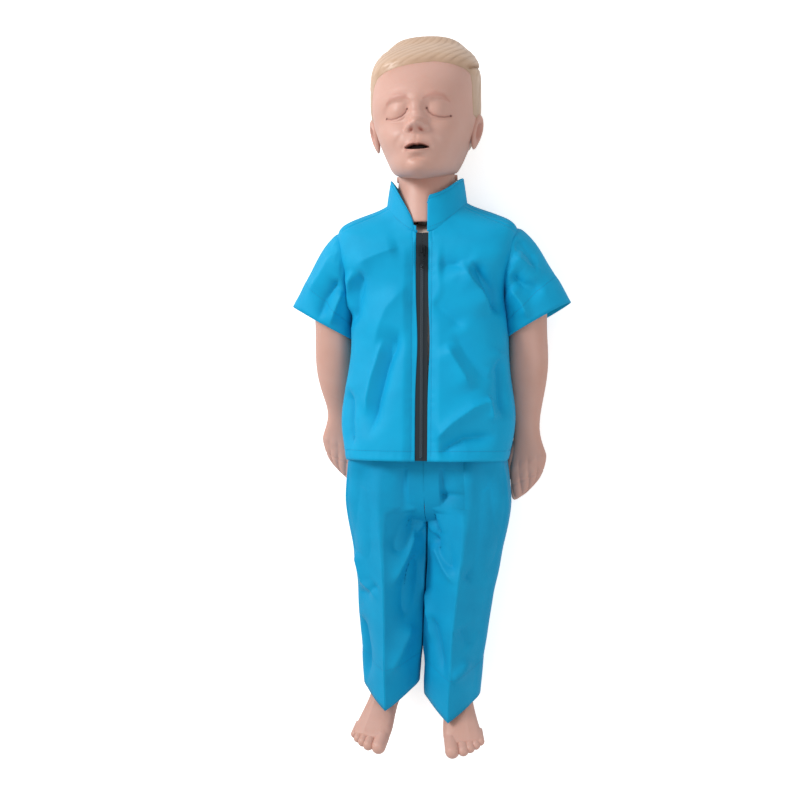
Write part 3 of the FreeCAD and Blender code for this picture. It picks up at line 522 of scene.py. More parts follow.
jacket = {
    "mesh": (300, 150), "cloth": (0.66, 0.34), "middle": (0, 60), "frontShare": 0.09, "thickness": 1.1,
    "room": 1.6, "frontPower": 2.3, "backPower": 3, "shoulderPower": 1.2, "zipHalf": 8.2,
    # how far the front stands off the chest, how deep its folds are, and how much fuller its left side hangs
    "slack": 5, "foldGain": 4, "fuller": 2.5,
    "height": 346, "zipStitch": 13, "zipGroove": 0.55, "seamGroove": 1.1,
    "hem": {"outer": 10.5, "inner": 9.3, "stitch": 9.6, "groove": 0.45, "spread": 1.1},
    # the zip's height at the hem, and at its top 300 mm above
    "zip": {"hemY": -79, "hemZ": 131, "topZ": 118.8, "rise": 300},
    # y beside, half width, y in front, y behind, height behind
    "rows": [
        (-79, 109, -80, -76, -0.6), (-66, 112.5, -67, -64, -0.6), (-45, 117.5, -45, -43, -0.6),
        (-15, 119.5, -15, -15, -0.6), (15, 114, 15, 15, -0.6), (50, 108, 50, 50, -0.6),
        (90, 106.5, 90, 90, -0.6), (130, 105, 130, 130, -0.6), (158, 104.5, 156, 158, -0.5),
        (191, 119, 180, 188, -0.5), (220, 124, 197, 214, 0), (233, 122, 203, 226, 1),
        (243, 110, 208, 238, 2), (254, 83, 214, 250, 4.5), (262, 57, 219, 260, 8),
        (269, 49.5, 228, 268, 13)],
    # shoulder seams from the collar to the armholes
    "seams": [[(-46, 258), (-112, 228)], [(55, 260), (122, 227)], [(53, 256), (119, 223)]],
    "folds": [
        # left front: armpit fold, broad shadowed hollow, ridge beside it
        ([(-92, 176), (-97, 145), (-103, 110)], 3.2, 5, 14),
        ([(-80, 176), (-88, 140), (-100, 95)], -3, 9, 12),
        ([(-26, 96), (-48, 40), (-63, -20), (-72, -56)], -4.5, 9, 32),
        ([(-50, 84), (-68, 30), (-80, -24)], 2.6, 14, 8),
        ([(-104, 20), (-100, -30), (-92, -70)], -2.6, 8, 10),
        ([(-18, 150), (-45, 120), (-70, 60)], 1.6, 16, 14),
        ([(-30, 200), (-60, 190), (-92, 178)], 1.8, 10, 12),
        # right front: armpit fold, drags towards the zip and across the belly
        ([(50, 182), (72, 145), (88, 108)], 3.6, 5, 16),
        ([(64, 182), (84, 145), (98, 108)], -3.6, 7, 9),
        ([(20, 176), (44, 176), (66, 166)], -2, 12, 14),
        ([(10, 132), (34, 112), (58, 90)], -1.8, 12, 18),
        ([(30, 74), (52, 36), (66, 10)], 2.4, 8, 12),
        ([(100, 66), (90, 44), (80, 26)], 1, 9, 10),
        ([(40, 90), (56, 60), (74, 34), (90, 16)], -1.2, 14, 14),
        ([(14, -56), (40, -30), (66, -10), (96, 2)], 2.4, 7, 9),
        ([(20, -70), (54, -50), (98, -46)], -2.6, 8, 9),
        ([(84, 6), (88, -12), (90, -30)], 1.6, 3.5, 6),
        ([(96, 60), (99, 20), (102, -30)], -2.8, 7, 9)],
}


def zipHeight(y):
    tape = jacket["zip"]
    return tape["hemZ"] + (tape["topZ"] - tape["hemZ"]) * (y - tape["hemY"]) / tape["rise"]


def jacketPlace(u, v):
    rows = np.array(jacket["rows"])
    rows = np.column_stack([rows, zipHeight(rows[:, 2])])
    ySide, half, yFront, yBack, zBack, zFront = splineRows(rows, v)
    shoulder = ramp(140, 200, ySide) * ramp(262, 235, ySide)
    power = jacket["frontPower"] + jacket["shoulderPower"] * shoulder
    start = np.arcsin((jacket["zipHalf"] / half) ** (power / 2))
    angle = start + u * (2 * math.pi - 2 * start)
    s, c = np.sin(angle), np.cos(angle)
    share = 2 / np.where(c > 0, power, jacket["backPower"])
    x = signedPower(s, share) * half + jacket["fuller"] * bell(ySide - 75, 45)
    z = (zFront + zBack) / 2 + signedPower(c, share) * (zFront - zBack) / 2
    y = s * s * ySide + c * c * np.where(c > 0, yFront, yBack)
    return np.stack([x, y, np.maximum(z, 0.4)], axis=1)


def jacketLift(x, y, z, v, hem, upward):
    off = np.abs(x)  # distance from the zip
    front = ramp(0.05, 0.6, upward)
    aside = ramp(0.35, 0, np.abs(upward)) * ramp(0.2, 0.5, v)
    lift = jacket["slack"] * ramp(215, 175, y) + jacket["foldGain"] * foldHeight(x, y, jacket["folds"])
    lift = lift * front * ramp(0, 16, off - 9)
    lift += ripple(x, y, 55, 3) * 0.9 * front * ramp(0, 20, off - 9)
    lift += ripple(y, z, 40, 5) * 1.6 * aside
    lift += turnedHem(hem, jacket["hem"])
    lift += ripple(x * 2.2, z, 14, 8) * 0.5 * bell(hem - 9, 5)  # puckers along the hem
    lift -= jacket["zipGroove"] * bell(off - jacket["zipStitch"], 0.9) * front
    for seam in jacket["seams"]:
        lift -= jacket["seamGroove"] * bell(alongPath(x, y, seam)[0], 0.9) * (upward > 0)
    puckers = np.sin(y / 2.6 + np.sin(y / 9) * 2) * 0.32
    return lift + puckers * bell(off - 14.5, 4.5) * front  # beside the zip


def stitchBesideZip(stitches, grid, facing):
    # one row on each front, from just above the hem to the neck
    columns, nearest, levels = jacket["mesh"][0], 20, range(2, 138)
    for chosen in (list(range(nearest)), list(range(columns, columns - nearest, -1))):
        points, ups = [], []
        for level in levels:
            off = np.abs(grid[level, chosen, 0])
            points.append([np.interp(jacket["zipStitch"], off, grid[level, chosen, k]) for k in range(3)])
            ups.append(facing[level, chosen[6]])
        stitchRow(stitches, points, ups)


def inArmhole(p):
    side = 1 if p.x > 0 else -1
    lean = math.radians(armhole["lean"])
    dx, dy, dz = p.x - side * armhole["x"], p.y - armhole["y"], p.z - armhole["z"]
    out = dx * side * math.cos(lean) - dy * math.sin(lean)
    radius = math.sqrt(max(0, dx * dx + dy * dy + dz * dz - out * out))
    return radius < armhole["radius"] and out > armhole["inside"]


def makeJacket():
    bm, uv, places, normals = gridSheet(jacket, jacketPlace)
    x, y, z = places.T
    hem = y - jacketPlace(uv[:, 0], np.zeros(len(x)))[:, 1]
    lift = jacketLift(x, y, z, uv[:, 1], hem, normals[:, 2])
    places = raisePoints(places, normals, lift)
    under = bodySurface(["trunk_front_shell", "chest_skin"])
    keepAbove(places, ramp(0.05, 0.6, normals[:, 2]) > 0.3, under, jacket["room"])
    setVertices(bm, places)
    level = jacket["hem"]["stitch"] / jacket["height"]
    stitches, grid, facing = stitchLevels(bm, places, jacket, [level])
    stitchBesideZip(stitches, grid, facing)
    finishPiece("jacketStitches", stitches, stitchThread, "trunk")
    dropFaces(bm, inArmhole)
    finishPiece("jacketShell", bm, jacketTwill, "trunk", ["jacket_body"], jacket["thickness"])


makeJacket()
print("jacket made")


# Sleeves

sleeve = {
    "mesh": (150, 84), "cloth": (0.26, 0.13), "middle": (130, 58), "thickness": 1.1, "room": 1.8,
    "height": 112, "foldGain": 3.4, "gathers": 17,
    "hem": {"outer": 10.5, "inner": 9.3, "stitch": 9.6, "groove": 0.4, "spread": 1.1},
    # middle x, y, height, direction from outwards towards the feet, half width, half thickness
    "rows": [
        (90, 192.5, 62, 8, 31, 31), (103, 192, 62, 9, 36.5, 36), (113, 191.5, 62, 12, 42.5, 41),
        (118.5, 181, 62, 19, 46, 41), (125, 168, 61.5, 28, 47, 39), (137.5, 137.5, 58, 45, 45, 34),
        (149.5, 107.5, 52, 61, 48.8, 32.8)],
    "folds": {
        1: [
            ([(120, 214), (140, 190), (150, 160)], -2.2, 6, 10),
            ([(112, 165), (132, 150), (158, 142)], -3, 8, 10),
            ([(112, 150), (128, 128), (138, 104)], 2.4, 6, 8),
            ([(116, 190), (136, 176), (160, 170)], 2, 9, 9)],
        -1: [
            ([(-114, 165), (-134, 140), (-150, 108)], -3, 9, 8),
            ([(-112, 150), (-124, 124), (-134, 100)], 2.4, 6, 8),
            ([(-120, 200), (-142, 170), (-166, 142)], 1.8, 12, 10)]},
}


def sleevePlacer(side):
    rows = []
    for x, y, z, turn, half, thick in sleeve["rows"]:
        angle = math.radians(turn)
        rows.append((side * x, y, z, side * math.sin(angle) * half, math.cos(angle) * half, thick))
    rows = np.array(rows)

    def place(u, v):
        x, y, z, acrossX, acrossY, thick = splineRows(rows, v)
        s, c = roundTurn(u, 0.5)  # sewn together underneath
        return np.stack([x + s * acrossX, y + s * acrossY, z + c * thick], axis=1)
    return place


def sleeveLift(side, x, y, u, v, front):
    hem = (1 - v) * sleeve["height"]
    lift = sleeve["foldGain"] * foldHeight(x, y, sleeve["folds"][side]) * front
    lift = lift + ripple(x * 1.3, y, 40, 11 + side) * 1.2 * ramp(0.25, 0.5, v)
    lift += np.sin(u * 2 * math.pi * sleeve["gathers"]) * 0.35 * bell(v - 0.40, 0.06) * front
    lift += turnedHem(hem, sleeve["hem"])
    return lift + ripple(u * 260, hem, 13, 21) * 0.4 * bell(hem - 9, 5)  # puckers along the hem


def makeSleeve(side, name):
    bm, uv, places, normals = gridSheet(sleeve, sleevePlacer(side), side)
    u, v = uv.T
    front = ramp(-0.1, 0.6, normals[:, 2])
    lift = sleeveLift(side, places[:, 0], places[:, 1], u, v, front)
    places = raisePoints(places, normals, lift)
    keepAbove(places, (front > 0.3) & (v > 0.2), bodySurface(["arm_" + name]), sleeve["room"])
    setVertices(bm, places)
    level = 1 - sleeve["hem"]["stitch"] / sleeve["height"]
    stitches = stitchLevels(bm, places, sleeve, [level])[0]
    thread = finishPiece("sleeveStitches" + name.capitalize(), stitches, stitchThread)
    mergeSides(bm)
    piece = finishPiece("sleeve" + name.capitalize(), bm, jacketTwill, None,
                        ["sleeve_" + name], sleeve["thickness"])
    for cloth in (piece, thread):
        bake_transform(cloth)


for side, name in sides:
    makeSleeve(side, name)
print("sleeves made")


# Collar

collar = {
    "mesh": (190, 36), "cloth": (0.34, 0.035), "middle": (0, 70), "rise": 37, "frontRise": 9, "backRise": 8,
    "sunk": 2.5, "thick": 2.2, "opening": 0.12, "stitchShares": (0.12, 0.9),
    # half width and depths of its base, how much its top closes in, and y of its base all round
    "half": 53.5, "closer": -6, "frontDepth": 48.5, "frontCloser": 2.5, "backDepth": 58.5, "backCloser": 4.5,
    "sideY": 261.2, "frontY": 222, "backY": 257.7,
}


def collarPlace(u, v):
    angle = collar["opening"] + u * (2 * math.pi - 2 * collar["opening"])
    s, c = np.sin(angle), np.cos(angle)
    front, back, beside = np.maximum(0, c), np.maximum(0, -c), np.abs(s) ** 1.5
    # the left front edge is cut back in a curve, the right one stands up beside the zip
    cut = np.where(s > 0, np.clip((s - 0.03) / 0.13, 0, 1), np.clip((-s - 0.2) / 0.62, 0, 1)) ** 0.5
    inFront = (collar["rise"] + collar["frontRise"] * c * c) * cut
    behind = collar["rise"] * beside + collar["backRise"] * back ** 2
    rise = np.where(c > 0, inFront, behind) + collar["sunk"]
    half = collar["half"] + collar["closer"] * v * beside + collar["thick"]
    base = collar["sideY"] * s * s + front ** 2 * collar["frontY"] + back ** 2 * collar["backY"]
    frontDepth = collar["frontDepth"] - collar["frontCloser"] * v
    depth = np.where(c > 0, frontDepth, collar["backDepth"] - collar["backCloser"] * v) + collar["thick"]
    return np.stack([s * half, base - collar["sunk"] + rise * v, collar["middle"][1] + c * depth], axis=1)


def makeCollar():
    bm, uv, places, normals = gridSheet(collar, collarPlace)
    u, v = uv.T
    edges = 0.5 * bell(v - 0.9, 0.03) + 0.8 * bell(v, 0.05)
    lift = 0.5 * ripple(u * 340, v * 36, 26, 4) - edges
    places = places + normals * lift[:, None]
    setVertices(bm, places)
    stitches = stitchLevels(bm, places, collar, collar["stitchShares"])[0]
    finishPiece("collarStitches", stitches, stitchThread, "trunk")
    finishPiece("standCollar", bm, jacketTwill, "trunk", ["jacket_collar"], collar["thick"] - 0.3)


makeCollar()
print("collar made")


# Trousers

trousers = {
    "mesh": (180, 190), "cloth": (0.30, 0.36), "middle": (50, 52), "thickness": 1.1, "lowest": 0.3,
    "room": 2.6, "lean": 10, "hipY": -138, "topY": -48, "plainHem": -402, "seamPower": 9,
    "hem": {1: -412, -1: -400}, "crease": 7.5, "slope": 9, "point": 14, "foldGain": 3.8,
    "turned": {"outer": 16, "inner": 14.6, "stitch": 15, "groove": 0.35, "spread": 1.2},
    # y, middle x, half width, height in front, height behind, squareness
    "rows": [
        (-48, 51, 51.3, 109.5, 3, 5), (-80, 53, 53.5, 110.5, 2.6, 5), (-110, 55, 55.6, 110.5, 2.4, 4.6),
        (-138, 56, 56.2, 109.5, 2.2, 4), (-162, 56.5, 54, 107.5, 1.8, 3), (-200, 54, 48.5, 106, 1, 2.5),
        (-255, 48.5, 45.5, 104, 0.8, 2.3), (-330, 44.5, 41.5, 101, 0.8, 2.2), (-402, 42, 38, 97, 1.6, 2.2)],
    "folds": {
        -1: [
            ([(-10, -150), (-26, -185), (-44, -205)], -3.4, 10, 7),
            ([(-12, -172), (-28, -215), (-44, -255)], 2.6, 8, 9),
            ([(-14, -205), (-22, -250), (-30, -300)], -3, 9, 8),
            ([(-20, -300), (-34, -340), (-48, -372)], 2.4, 8, 10),
            ([(-96, -200), (-84, -245), (-60, -270)], 2.2, 9, 8),
            ([(-92, -290), (-84, -340), (-80, -385)], -2.4, 8, 10),
            ([(-60, -245), (-80, -262), (-96, -262)], -1.8, 8, 8)],
        1: [
            ([(4, -132), (24, -126), (50, -124)], -2.6, 5, 6),
            ([(4, -146), (12, -166), (20, -186)], -2.2, 4, 5),
            ([(6, -178), (24, -204), (44, -228)], -2.6, 7, 6),
            ([(8, -190), (26, -222), (44, -246)], 2, 6, 6),
            ([(52, -236), (66, -226), (80, -222)], -2.2, 6, 8),
            ([(6, -286), (18, -330), (30, -368)], -2.6, 6, 8),
            ([(36, -372), (48, -360), (60, -344)], 2.4, 6, 7), ([(0, -250), (4, -290), (6, -330)], 2, 6, 6),
            ([(46, -300), (56, -320), (64, -326)], -1.6, 8, 8)]},
}


def legPlacer(side):
    rows = np.array(trousers["rows"])
    plain = trousers["plainHem"]
    longer = (trousers["hem"][side] - plain) * (rows[:, 0] + 300) / (plain + 300)
    rows[:, 0] = np.where(rows[:, 0] < -300, rows[:, 0] + longer, rows[:, 0])

    def place(u, v):
        y, middle, half, front, back, square = splineRows(rows, v)
        s, c = roundTurn(u)
        lean = trousers["lean"] * ramp(-trousers["hipY"], -trousers["plainHem"], -y)
        joined = ramp(-152, -140, y) * (s * side < 0)  # the halves meet in a seam
        square = square + (trousers["seamPower"] - square) * joined
        x = side * middle - lean + signedPower(s, 2 / square) * half
        # cloth between the legs reaches the middle, on top only at the crotch
        inner = np.maximum(ramp(0.7, 0.2, c), ramp(-185, -168, y)) * ramp(0, -0.5, s * side)
        x -= side * np.maximum(0, middle - half - 0.5) * inner * ramp(-372, -340, y)
        z = (front + back) / 2 + signedPower(c, 2 / square) * (front - back) / 2
        pointed = trousers["point"] * (1 - 1.9 * np.abs(s)) * ramp(-290, -402, y)
        return np.stack([x, y - pointed, z], axis=1)
    return place


def creaseLift(across, y, front):
    slopes = trousers["slope"] * ramp(0, 32, across)
    return ramp(-70, -110, y) * front * (trousers["crease"] * np.exp(-across / 8) - slopes)


def makeTrouserLeg(side, name):
    place = legPlacer(side)
    bm, uv, places, normals = gridSheet(trousers, place, side)
    x, y, z = places.T
    front = ramp(0, 0.6, normals[:, 2])
    ridge = place(np.zeros(len(x)), uv[:, 1])[:, 0]
    length = trousers["topY"] - trousers["hem"][side]
    lift = trousers["foldGain"] * foldHeight(x, y, trousers["folds"][side]) * front * ramp(-90, -125, y)
    lift += ripple(x, y, 60, 31 + side) * 1.3 * ramp(-90, -150, y)
    lift += turnedHem((1 - uv[:, 1]) * length, trousers["turned"])
    places = places + normals * lift[:, None]
    places[:, 2] += creaseLift(np.abs(x - ridge), y, front)
    places[:, 2] = np.maximum(places[:, 2], trousers["lowest"])
    under = bodySurface(["trunk_front_shell", "leg_left", "leg_right", "trunk_screws", "hip_shaft"])
    keepAbove(places, (front > 0.3) | ((z > 62) & (y > -165)), under, trousers["room"])
    setVertices(bm, places)
    level = 1 - trousers["turned"]["stitch"] / length
    stitches = stitchLevels(bm, places, trousers, [level])[0]
    thread = finishPiece("trouserStitches" + name.capitalize(), stitches, stitchThread)
    mergeSides(bm)
    piece = finishPiece("trouser" + name.capitalize(), bm, trouserTwill, None,
                        ["trouser_leg_" + name], trousers["thickness"])
    for cloth in (piece, thread):
        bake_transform(cloth)


def makeSeat():
    bm = copyNode("trousers_seat")
    dropFaces(bm, lambda p: p.z > 70 and p.y < -45 and abs(p.x) < 80)  # under the fronts of the legs
    finishPiece("trouserSeat", bm, trouserTwill, "trunk", ["trousers_seat"])


for side, name in sides:
    makeTrouserLeg(side, name)
makeSeat()
print("trousers made")


# Arms: soft vinyl from the shoulder to closed fingers, and a thumb beside them

arm = {
    "mesh": (120, 260), "cloth": (0.16, 0.34), "middle": (134, 30), "lowest": 0.4,
    # middle x, y, height, direction from outwards to the feet, half width and thickness, slant of the row
    "rows": [
        (118, 186, 62, 24, 27, 30, 0), (123, 180.5, 61, 34, 29, 32, 0), (133, 160, 58.5, 62, 27, 29, 0),
        (135, 134, 56, 84, 26.5, 26.5, 0), (134.5, 96, 51, 90, 25, 24.5, 0), (135.5, 50, 43, 90, 28, 22, 0),
        (134, 12, 34.5, 90, 23.5, 18, 0), (132, -22, 27, 90, 18, 14, 0), (132, -46, 22, 90, 17.5, 12.5, 0),
        (134, -66, 19.5, 90, 21, 12.5, 0.1), (134.5, -84, 17.5, 90, 25, 12, 0.35),
        (134, -100, 15, 90, 24.5, 11.5, 0.6), (133, -115, 12, 90, 22.5, 10, 0.8),
        (131.5, -126, 10, 90, 18, 8.5, 0.9), (131, -128, 9.5, 90, 9, 5, 0.9),
        (131, -129, 9.5, 90, 0, 0, 0.9)],
    "raised": {1: 0, -1: 22},  # how much shorter the bent arm lies
    # y of the knuckles, finger joints and wrist crease
    "knuckles": -86, "joints": -108, "wrist": -40,
}
thumb = {
    "mesh": (48, 70), "cloth": (0.05, 0.07), "middle": (109, 13.5),
    "nail": (109.5, -103), "nailHalf": (4.2, 5),
    # middle x, y, height, radius
    "rows": [
        (121, -52, 20, 7), (115.5, -72, 17, 9), (111.5, -90, 13.5, 7.8), (109.5, -103, 11, 7.2),
        (108.5, -109, 10, 5.2), (108, -112, 9.5, 0)],
}


def armPlacer(side):
    rows = np.array(arm["rows"])
    rows[:, 1] += arm["raised"][side] * ramp(30, -60, rows[:, 1])

    def place(u, v):
        x, y, z, turn, half, thick, slant = splineRows(rows, v)
        s, c = roundTurn(u, 0.5)
        angle, out = np.radians(turn), s * side
        hand = ramp(-40, -80, y - arm["raised"][side])
        c = signedPower(c, 1 - 0.25 * hand)
        x = side * (x + out * np.sin(angle) * half)
        return np.stack([x, y + out * (np.cos(angle) + slant) * half, z + c * thick], axis=1)
    return place


def handLift(across, low, upward):
    # four closed fingers side by side, with their knuckles and joints
    fingers = ramp(-88, -104, low + 9 * np.abs(across + 0.15))
    bent = across - 0.16 * ramp(-88, -125, low)
    rounded = np.abs(np.sin(2 * math.pi * (bent + 0.02))) ** 0.55
    top = ramp(-0.5, 0.3, upward)
    lift = fingers * (2.2 * rounded - 1.4) * np.where(np.abs(across) < 0.97, 1, 0.6)
    lift += 1.1 * bell(low - arm["knuckles"], 6) * rounded * top
    lift -= 0.7 * bell(low - arm["joints"] + 6 * across, 1.6) * fingers * top
    lift -= 0.8 * bell(low - arm["wrist"], 2.2) * (1 - top)
    return lift


def makeArm(side, name):
    place = armPlacer(side)
    bm, uv, places, normals = gridSheet(arm, place, side)
    across = roundTurn(uv[:, 0], 0.5)[0] * side
    low = place(np.full(len(uv), 0.5), uv[:, 1])[:, 1] - arm["raised"][side]
    places = raisePoints(places, normals, handLift(across, low, normals[:, 2]), arm["lowest"])
    setVertices(bm, places)
    mergeSides(bm)
    finishPiece("armVinyl" + name.capitalize(), bm, skinVinyl, "arm_" + name, ["arm_" + name])


def makeThumb(side, name):
    rows = np.array(thumb["rows"])
    rows[:, 1] += arm["raised"][side]

    def place(u, v):
        x, y, z, radius = splineRows(rows, v)
        s, c = roundTurn(u)
        return np.stack([side * x + s * radius, y + 0.3 * side * s * radius, z + c * radius * 0.95], axis=1)

    bm, _, places, normals = gridSheet(thumb, place, side)
    nailX, nailY = side * thumb["nail"][0], thumb["nail"][1] + arm["raised"][side]
    halfX, halfY = thumb["nailHalf"]
    nail = bell(((places[:, 1] - nailY) / halfY) ** 2 + ((places[:, 0] - nailX) / halfX) ** 2, 1)
    places = raisePoints(places, normals, -0.5 * nail * (normals[:, 2] > 0), arm["lowest"])
    setVertices(bm, places)
    mergeSides(bm)
    finishPiece("thumb" + name.capitalize(), bm, skinVinyl, "arm_" + name)


for side, name in sides:
    makeArm(side, name)
    makeThumb(side, name)
print("arms made")


# Head: one spline form for face, jaw and hair

head = {
    # y in front, height in front, y behind, height behind, half width
    "rows": [
        (284, 143, 316, 24, 33), (287, 157, 319, 13, 41), (295, 166, 323, 9, 45),
        (305, 168, 328, 7.5, 48.5), (317, 168, 334, 7, 52), (328, 170, 340, 7, 56),
        (339, 170.5, 347, 7, 60), (350, 166, 355, 7, 64), (361, 165, 364, 7, 67.5),
        (372, 170, 374, 8, 69.5), (384, 172, 385, 9, 70.5), (398, 168.5, 398, 11, 70.5),
        (414, 159.5, 414, 15, 70), (430, 147.5, 430, 21, 68.5), (445, 134.5, 445, 30, 65),
        (459, 120, 459, 43, 58), (468, 106, 468, 58, 46)],
    "crown": 9, "roundness": 0.92, "neckRadius": 39.6, "neckZ": 71, "neckTop": 300, "neckEnd": 330,
}


def headForm(angle, v, grow=0):
    s, c = np.sin(angle), np.cos(angle)
    grow = np.broadcast_to(grow, angle.shape)
    rings, centres = [], []
    for yFront, zFront, yBack, zBack, half in head["rows"]:
        middle, depth = (zFront + zBack) / 2, (zFront - zBack) / 2 + grow
        x = signedPower(s, head["roundness"]) * (half + grow)
        z = middle + signedPower(c, head["roundness"]) * depth
        y = yBack + (yFront - yBack) * (1 + c) / 2
        rings.append(np.stack([x, y, z], axis=1))
        centres.append(np.array([0, (yFront + yBack) / 2, middle]))

    def shrunk(k, share, rise):
        away = np.stack([np.zeros_like(grow), rise, np.zeros_like(grow)], axis=1)
        return centres[k] + (rings[k] - centres[k]) * share + away

    crown = head["crown"] + grow
    poles = [shrunk(0, 0, -grow), shrunk(0, 0.5, -grow)] + rings
    poles += [shrunk(-1, 0.8, crown * 0.75), shrunk(-1, 0.45, crown), shrunk(-1, 0, crown)]
    return np.einsum("nr,rnk->nk", splineBasis(len(poles), v), np.array(poles))


def inNeck(p):
    if p.y > head["neckEnd"]:
        return False
    above = max(0, p.y - head["neckTop"])
    return math.sqrt(p.x ** 2 + (p.z - head["neckZ"]) ** 2 + above ** 2) < head["neckRadius"]


# Face

face = {
    "mesh": (330, 265), "cloth": (0.2, 0.2), "middle": (0, 90), "reach": 102, "height": 0.86,
    # x, y, reach across, reach along, turn in degrees, push; mirrored to the other side where x is not 0
    "forms": [
        (27, 366, 24, 15, 0, -3.2), (11, 369, 8, 10, 0, -1.2), (27.5, 365, 17, 13, 0, 6.2),
        (26, 383, 26, 9, -4, 1.7), (0, 382, 14, 12, 0, 1.5), (0, 402, 48, 26, 0, 2),
        (36, 334, 28, 26, 0, 4.2), (47, 348, 18, 14, -20, 1.2), (0, 372, 17, 17, 0, 2.8),
        (0, 360, 18, 17, 0, 5), (0, 350, 19, 15, 0, 6.4), (0, 344.5, 17.5, 12, 0, 10.6),
        (0, 345.5, 11, 9, 0, 2.8), (9.8, 342, 8.5, 7.5, 0, 4.4), (0, 321, 30, 20, 0, 3.2),
        (0, 329, 3.4, 6.5, 0, -0.5), (0, 323.8, 16, 4.6, 0, 1.8), (4.6, 323.4, 5, 3, 0, 0.5),
        (0, 312.2, 14.5, 4.6, 0, 3.2), (0, 305, 14, 4.5, 0, -1.8), (0, 294, 19, 12, 0, 4),
        (17.6, 318, 4, 5, 0, -0.8), (24, 328, 6, 12, 35, -0.6), (26, 353, 16, 5, 6, -0.8)],
    "mouth": {"half": 15.6, "y": 317.9, "up": 4.2, "down": 2.3, "depth": 15},
    "nostril": {"x": 5.8, "y": 338.6, "across": 2.7, "along": 1.8, "depth": 3.4},
    "lid": [(12.6, 366.8), (15, 362.2), (20, 358.5), (27, 356.7), (34, 357.2), (41.4, 359.8)],
    "brow": [(8.5, 378), (15, 381.6), (24, 383.8), (33, 381.6), (40.5, 376)],
}


def facePlace(u, v):
    a = 2 * u - 1
    return headForm(math.radians(face["reach"]) * (0.72 * a + 0.28 * a ** 3), v * face["height"])


def faceForms(x, y):
    lift = np.zeros(len(x))
    for cx, cy, rx, ry, turn, push in face["forms"]:
        for side in ((1, -1) if cx else (1,)):
            t = math.radians(turn) * side
            dx, dy = x - side * cx, y - cy
            across, along = dx * math.cos(t) + dy * math.sin(t), dy * math.cos(t) - dx * math.sin(t)
            q = (across / rx) ** 2 + (along / ry) ** 2
            lift += push * np.clip(1 - q, 0, 1) ** 2
    return lift


def mirrored(path, side):
    return [(side * px, py) for px, py in path]


def paintMore(paint, name, values):
    paint[name] = np.maximum(paint[name], values)


def closedEye(x, y, side, lift, paint):
    # the line between the lids with painted shade along and around it, its swollen upper lid, painted shade
    # in its two corners, and a faint brow whose tint is partly painted colour and partly painted shade
    lid = mirrored(face["lid"], side)
    distance, away = alongPath(x, y, lid)[:2]
    lift += -0.9 * bell(distance, 0.75) + 0.5 * bell(distance - 2.2, 1.3) * (away * side < 0)
    # painted shade along the lid crease, and a softer band of painted shade around it
    paintMore(paint, "lidCreaseShade", 0.42 * bell(distance, 0.62))
    paintMore(paint, "tintAndShade", 0.3 * bell(distance, 2.2))
    # painted shade in the eye's two corners
    for px, py in (lid[0], lid[-1]):
        paintMore(paint, "lidCreaseShade", 1.2 * bell(np.hypot(x - px, y - py), 1.1))
    distance, _, share = alongPath(x, y, mirrored(face["brow"], side))
    width = 3.2 * ramp(-0.05, 0.35, share) * ramp(1.1, 0.6, share) + 0.6
    # the brow's tint: partly painted brow colour, partly painted shade of the brow ridge
    paintMore(paint, "tintAndShade", 0.34 * bell(distance, width))
    lift += 0.5 * bell(distance, 3)


def openNostril(x, y, side, lift, paint):
    n = face["nostril"]
    slant = (x * side - n["x"]) * 0.25
    q = ((x - side * n["x"]) / n["across"]) ** 2 + ((y - n["y"] + slant) / n["along"]) ** 2
    lift -= n["depth"] * np.exp(-q * 1.2)
    # painted shade in the nostril opening
    paintMore(paint, "tintAndShade", np.exp(-q * 0.9))
    paintMore(paint, "openingShade", 0.2 * np.exp(-q * 2.2))


def partLips(x, y, lift, paint):
    # a deep slot with a dip in the middle of the upper lip, and a rounded rim
    m = face["mouth"]
    arch = np.clip(1 - (x / m["half"]) ** 2, 0, 1)
    top = m["y"] + m["up"] * arch ** 0.85 - 0.9 * bell(x, 2.2)
    bottom = m["y"] - m["down"] * arch ** 0.8
    inside = np.where(np.abs(x) < m["half"], np.minimum(top - y, y - bottom), -9)
    lift -= m["depth"] * ramp(-0.7, 1, inside)
    lift += 0.8 * bell(inside + 1.4, 1) * (np.abs(x) < m["half"])
    # painted shade inside the slot, and painted shade darkening the lips towards the slot
    paintMore(paint, "openingShade", ramp(-0.1, 0.7, inside))
    paintMore(paint, "tintAndShade", 0.35 * ramp(-5, -0.5, inside))


def makeFace():
    bm, _, places, normals = gridSheet(face, facePlace)
    x, y = places[:, 0], places[:, 1]
    lift = faceForms(x, y)
    # the brows' tint, and painted shade in the lid creases, eye corners, nostrils and mouth
    paint = {name: np.zeros(len(x)) for name in ("tintAndShade", "lidCreaseShade", "openingShade")}
    for side in (1, -1):
        closedEye(x, y, side, lift, paint)
        openNostril(x, y, side, lift, paint)
    partLips(x, y, lift, paint)
    push = normals * 0.35 + np.array([0, -0.12, 0.65])  # mostly upwards, so that forms don't spread
    push /= np.linalg.norm(push, axis=1)[:, None]
    setVertices(bm, places + push * lift[:, None])
    for name, values in paint.items():
        setLayer(bm, name, np.minimum(1, values))
    dropFaces(bm, inNeck)
    finishPiece("faceVinyl", bm, skinVinyl, "head", ["face_skin"])


jaw = {"mesh": (150, 120), "cloth": (0.3, 0.3), "middle": (0, 90), "joined": True, "sunk": -0.7}


def makeJaw():
    bm = gridSheet(jaw, lambda u, v: headForm(2 * math.pi * u, v, jaw["sunk"]))[0]
    dropFaces(bm, lambda p: p.z > 100 and p.y > 295)  # covered by the face
    dropFaces(bm, inNeck)
    finishPiece("headVinylBehind", bm, skinVinyl, "head")


ear = {"centre": (68.5, 356, 87), "reach": (6.2, 23, 12.5), "lean": 12, "turn": 20}


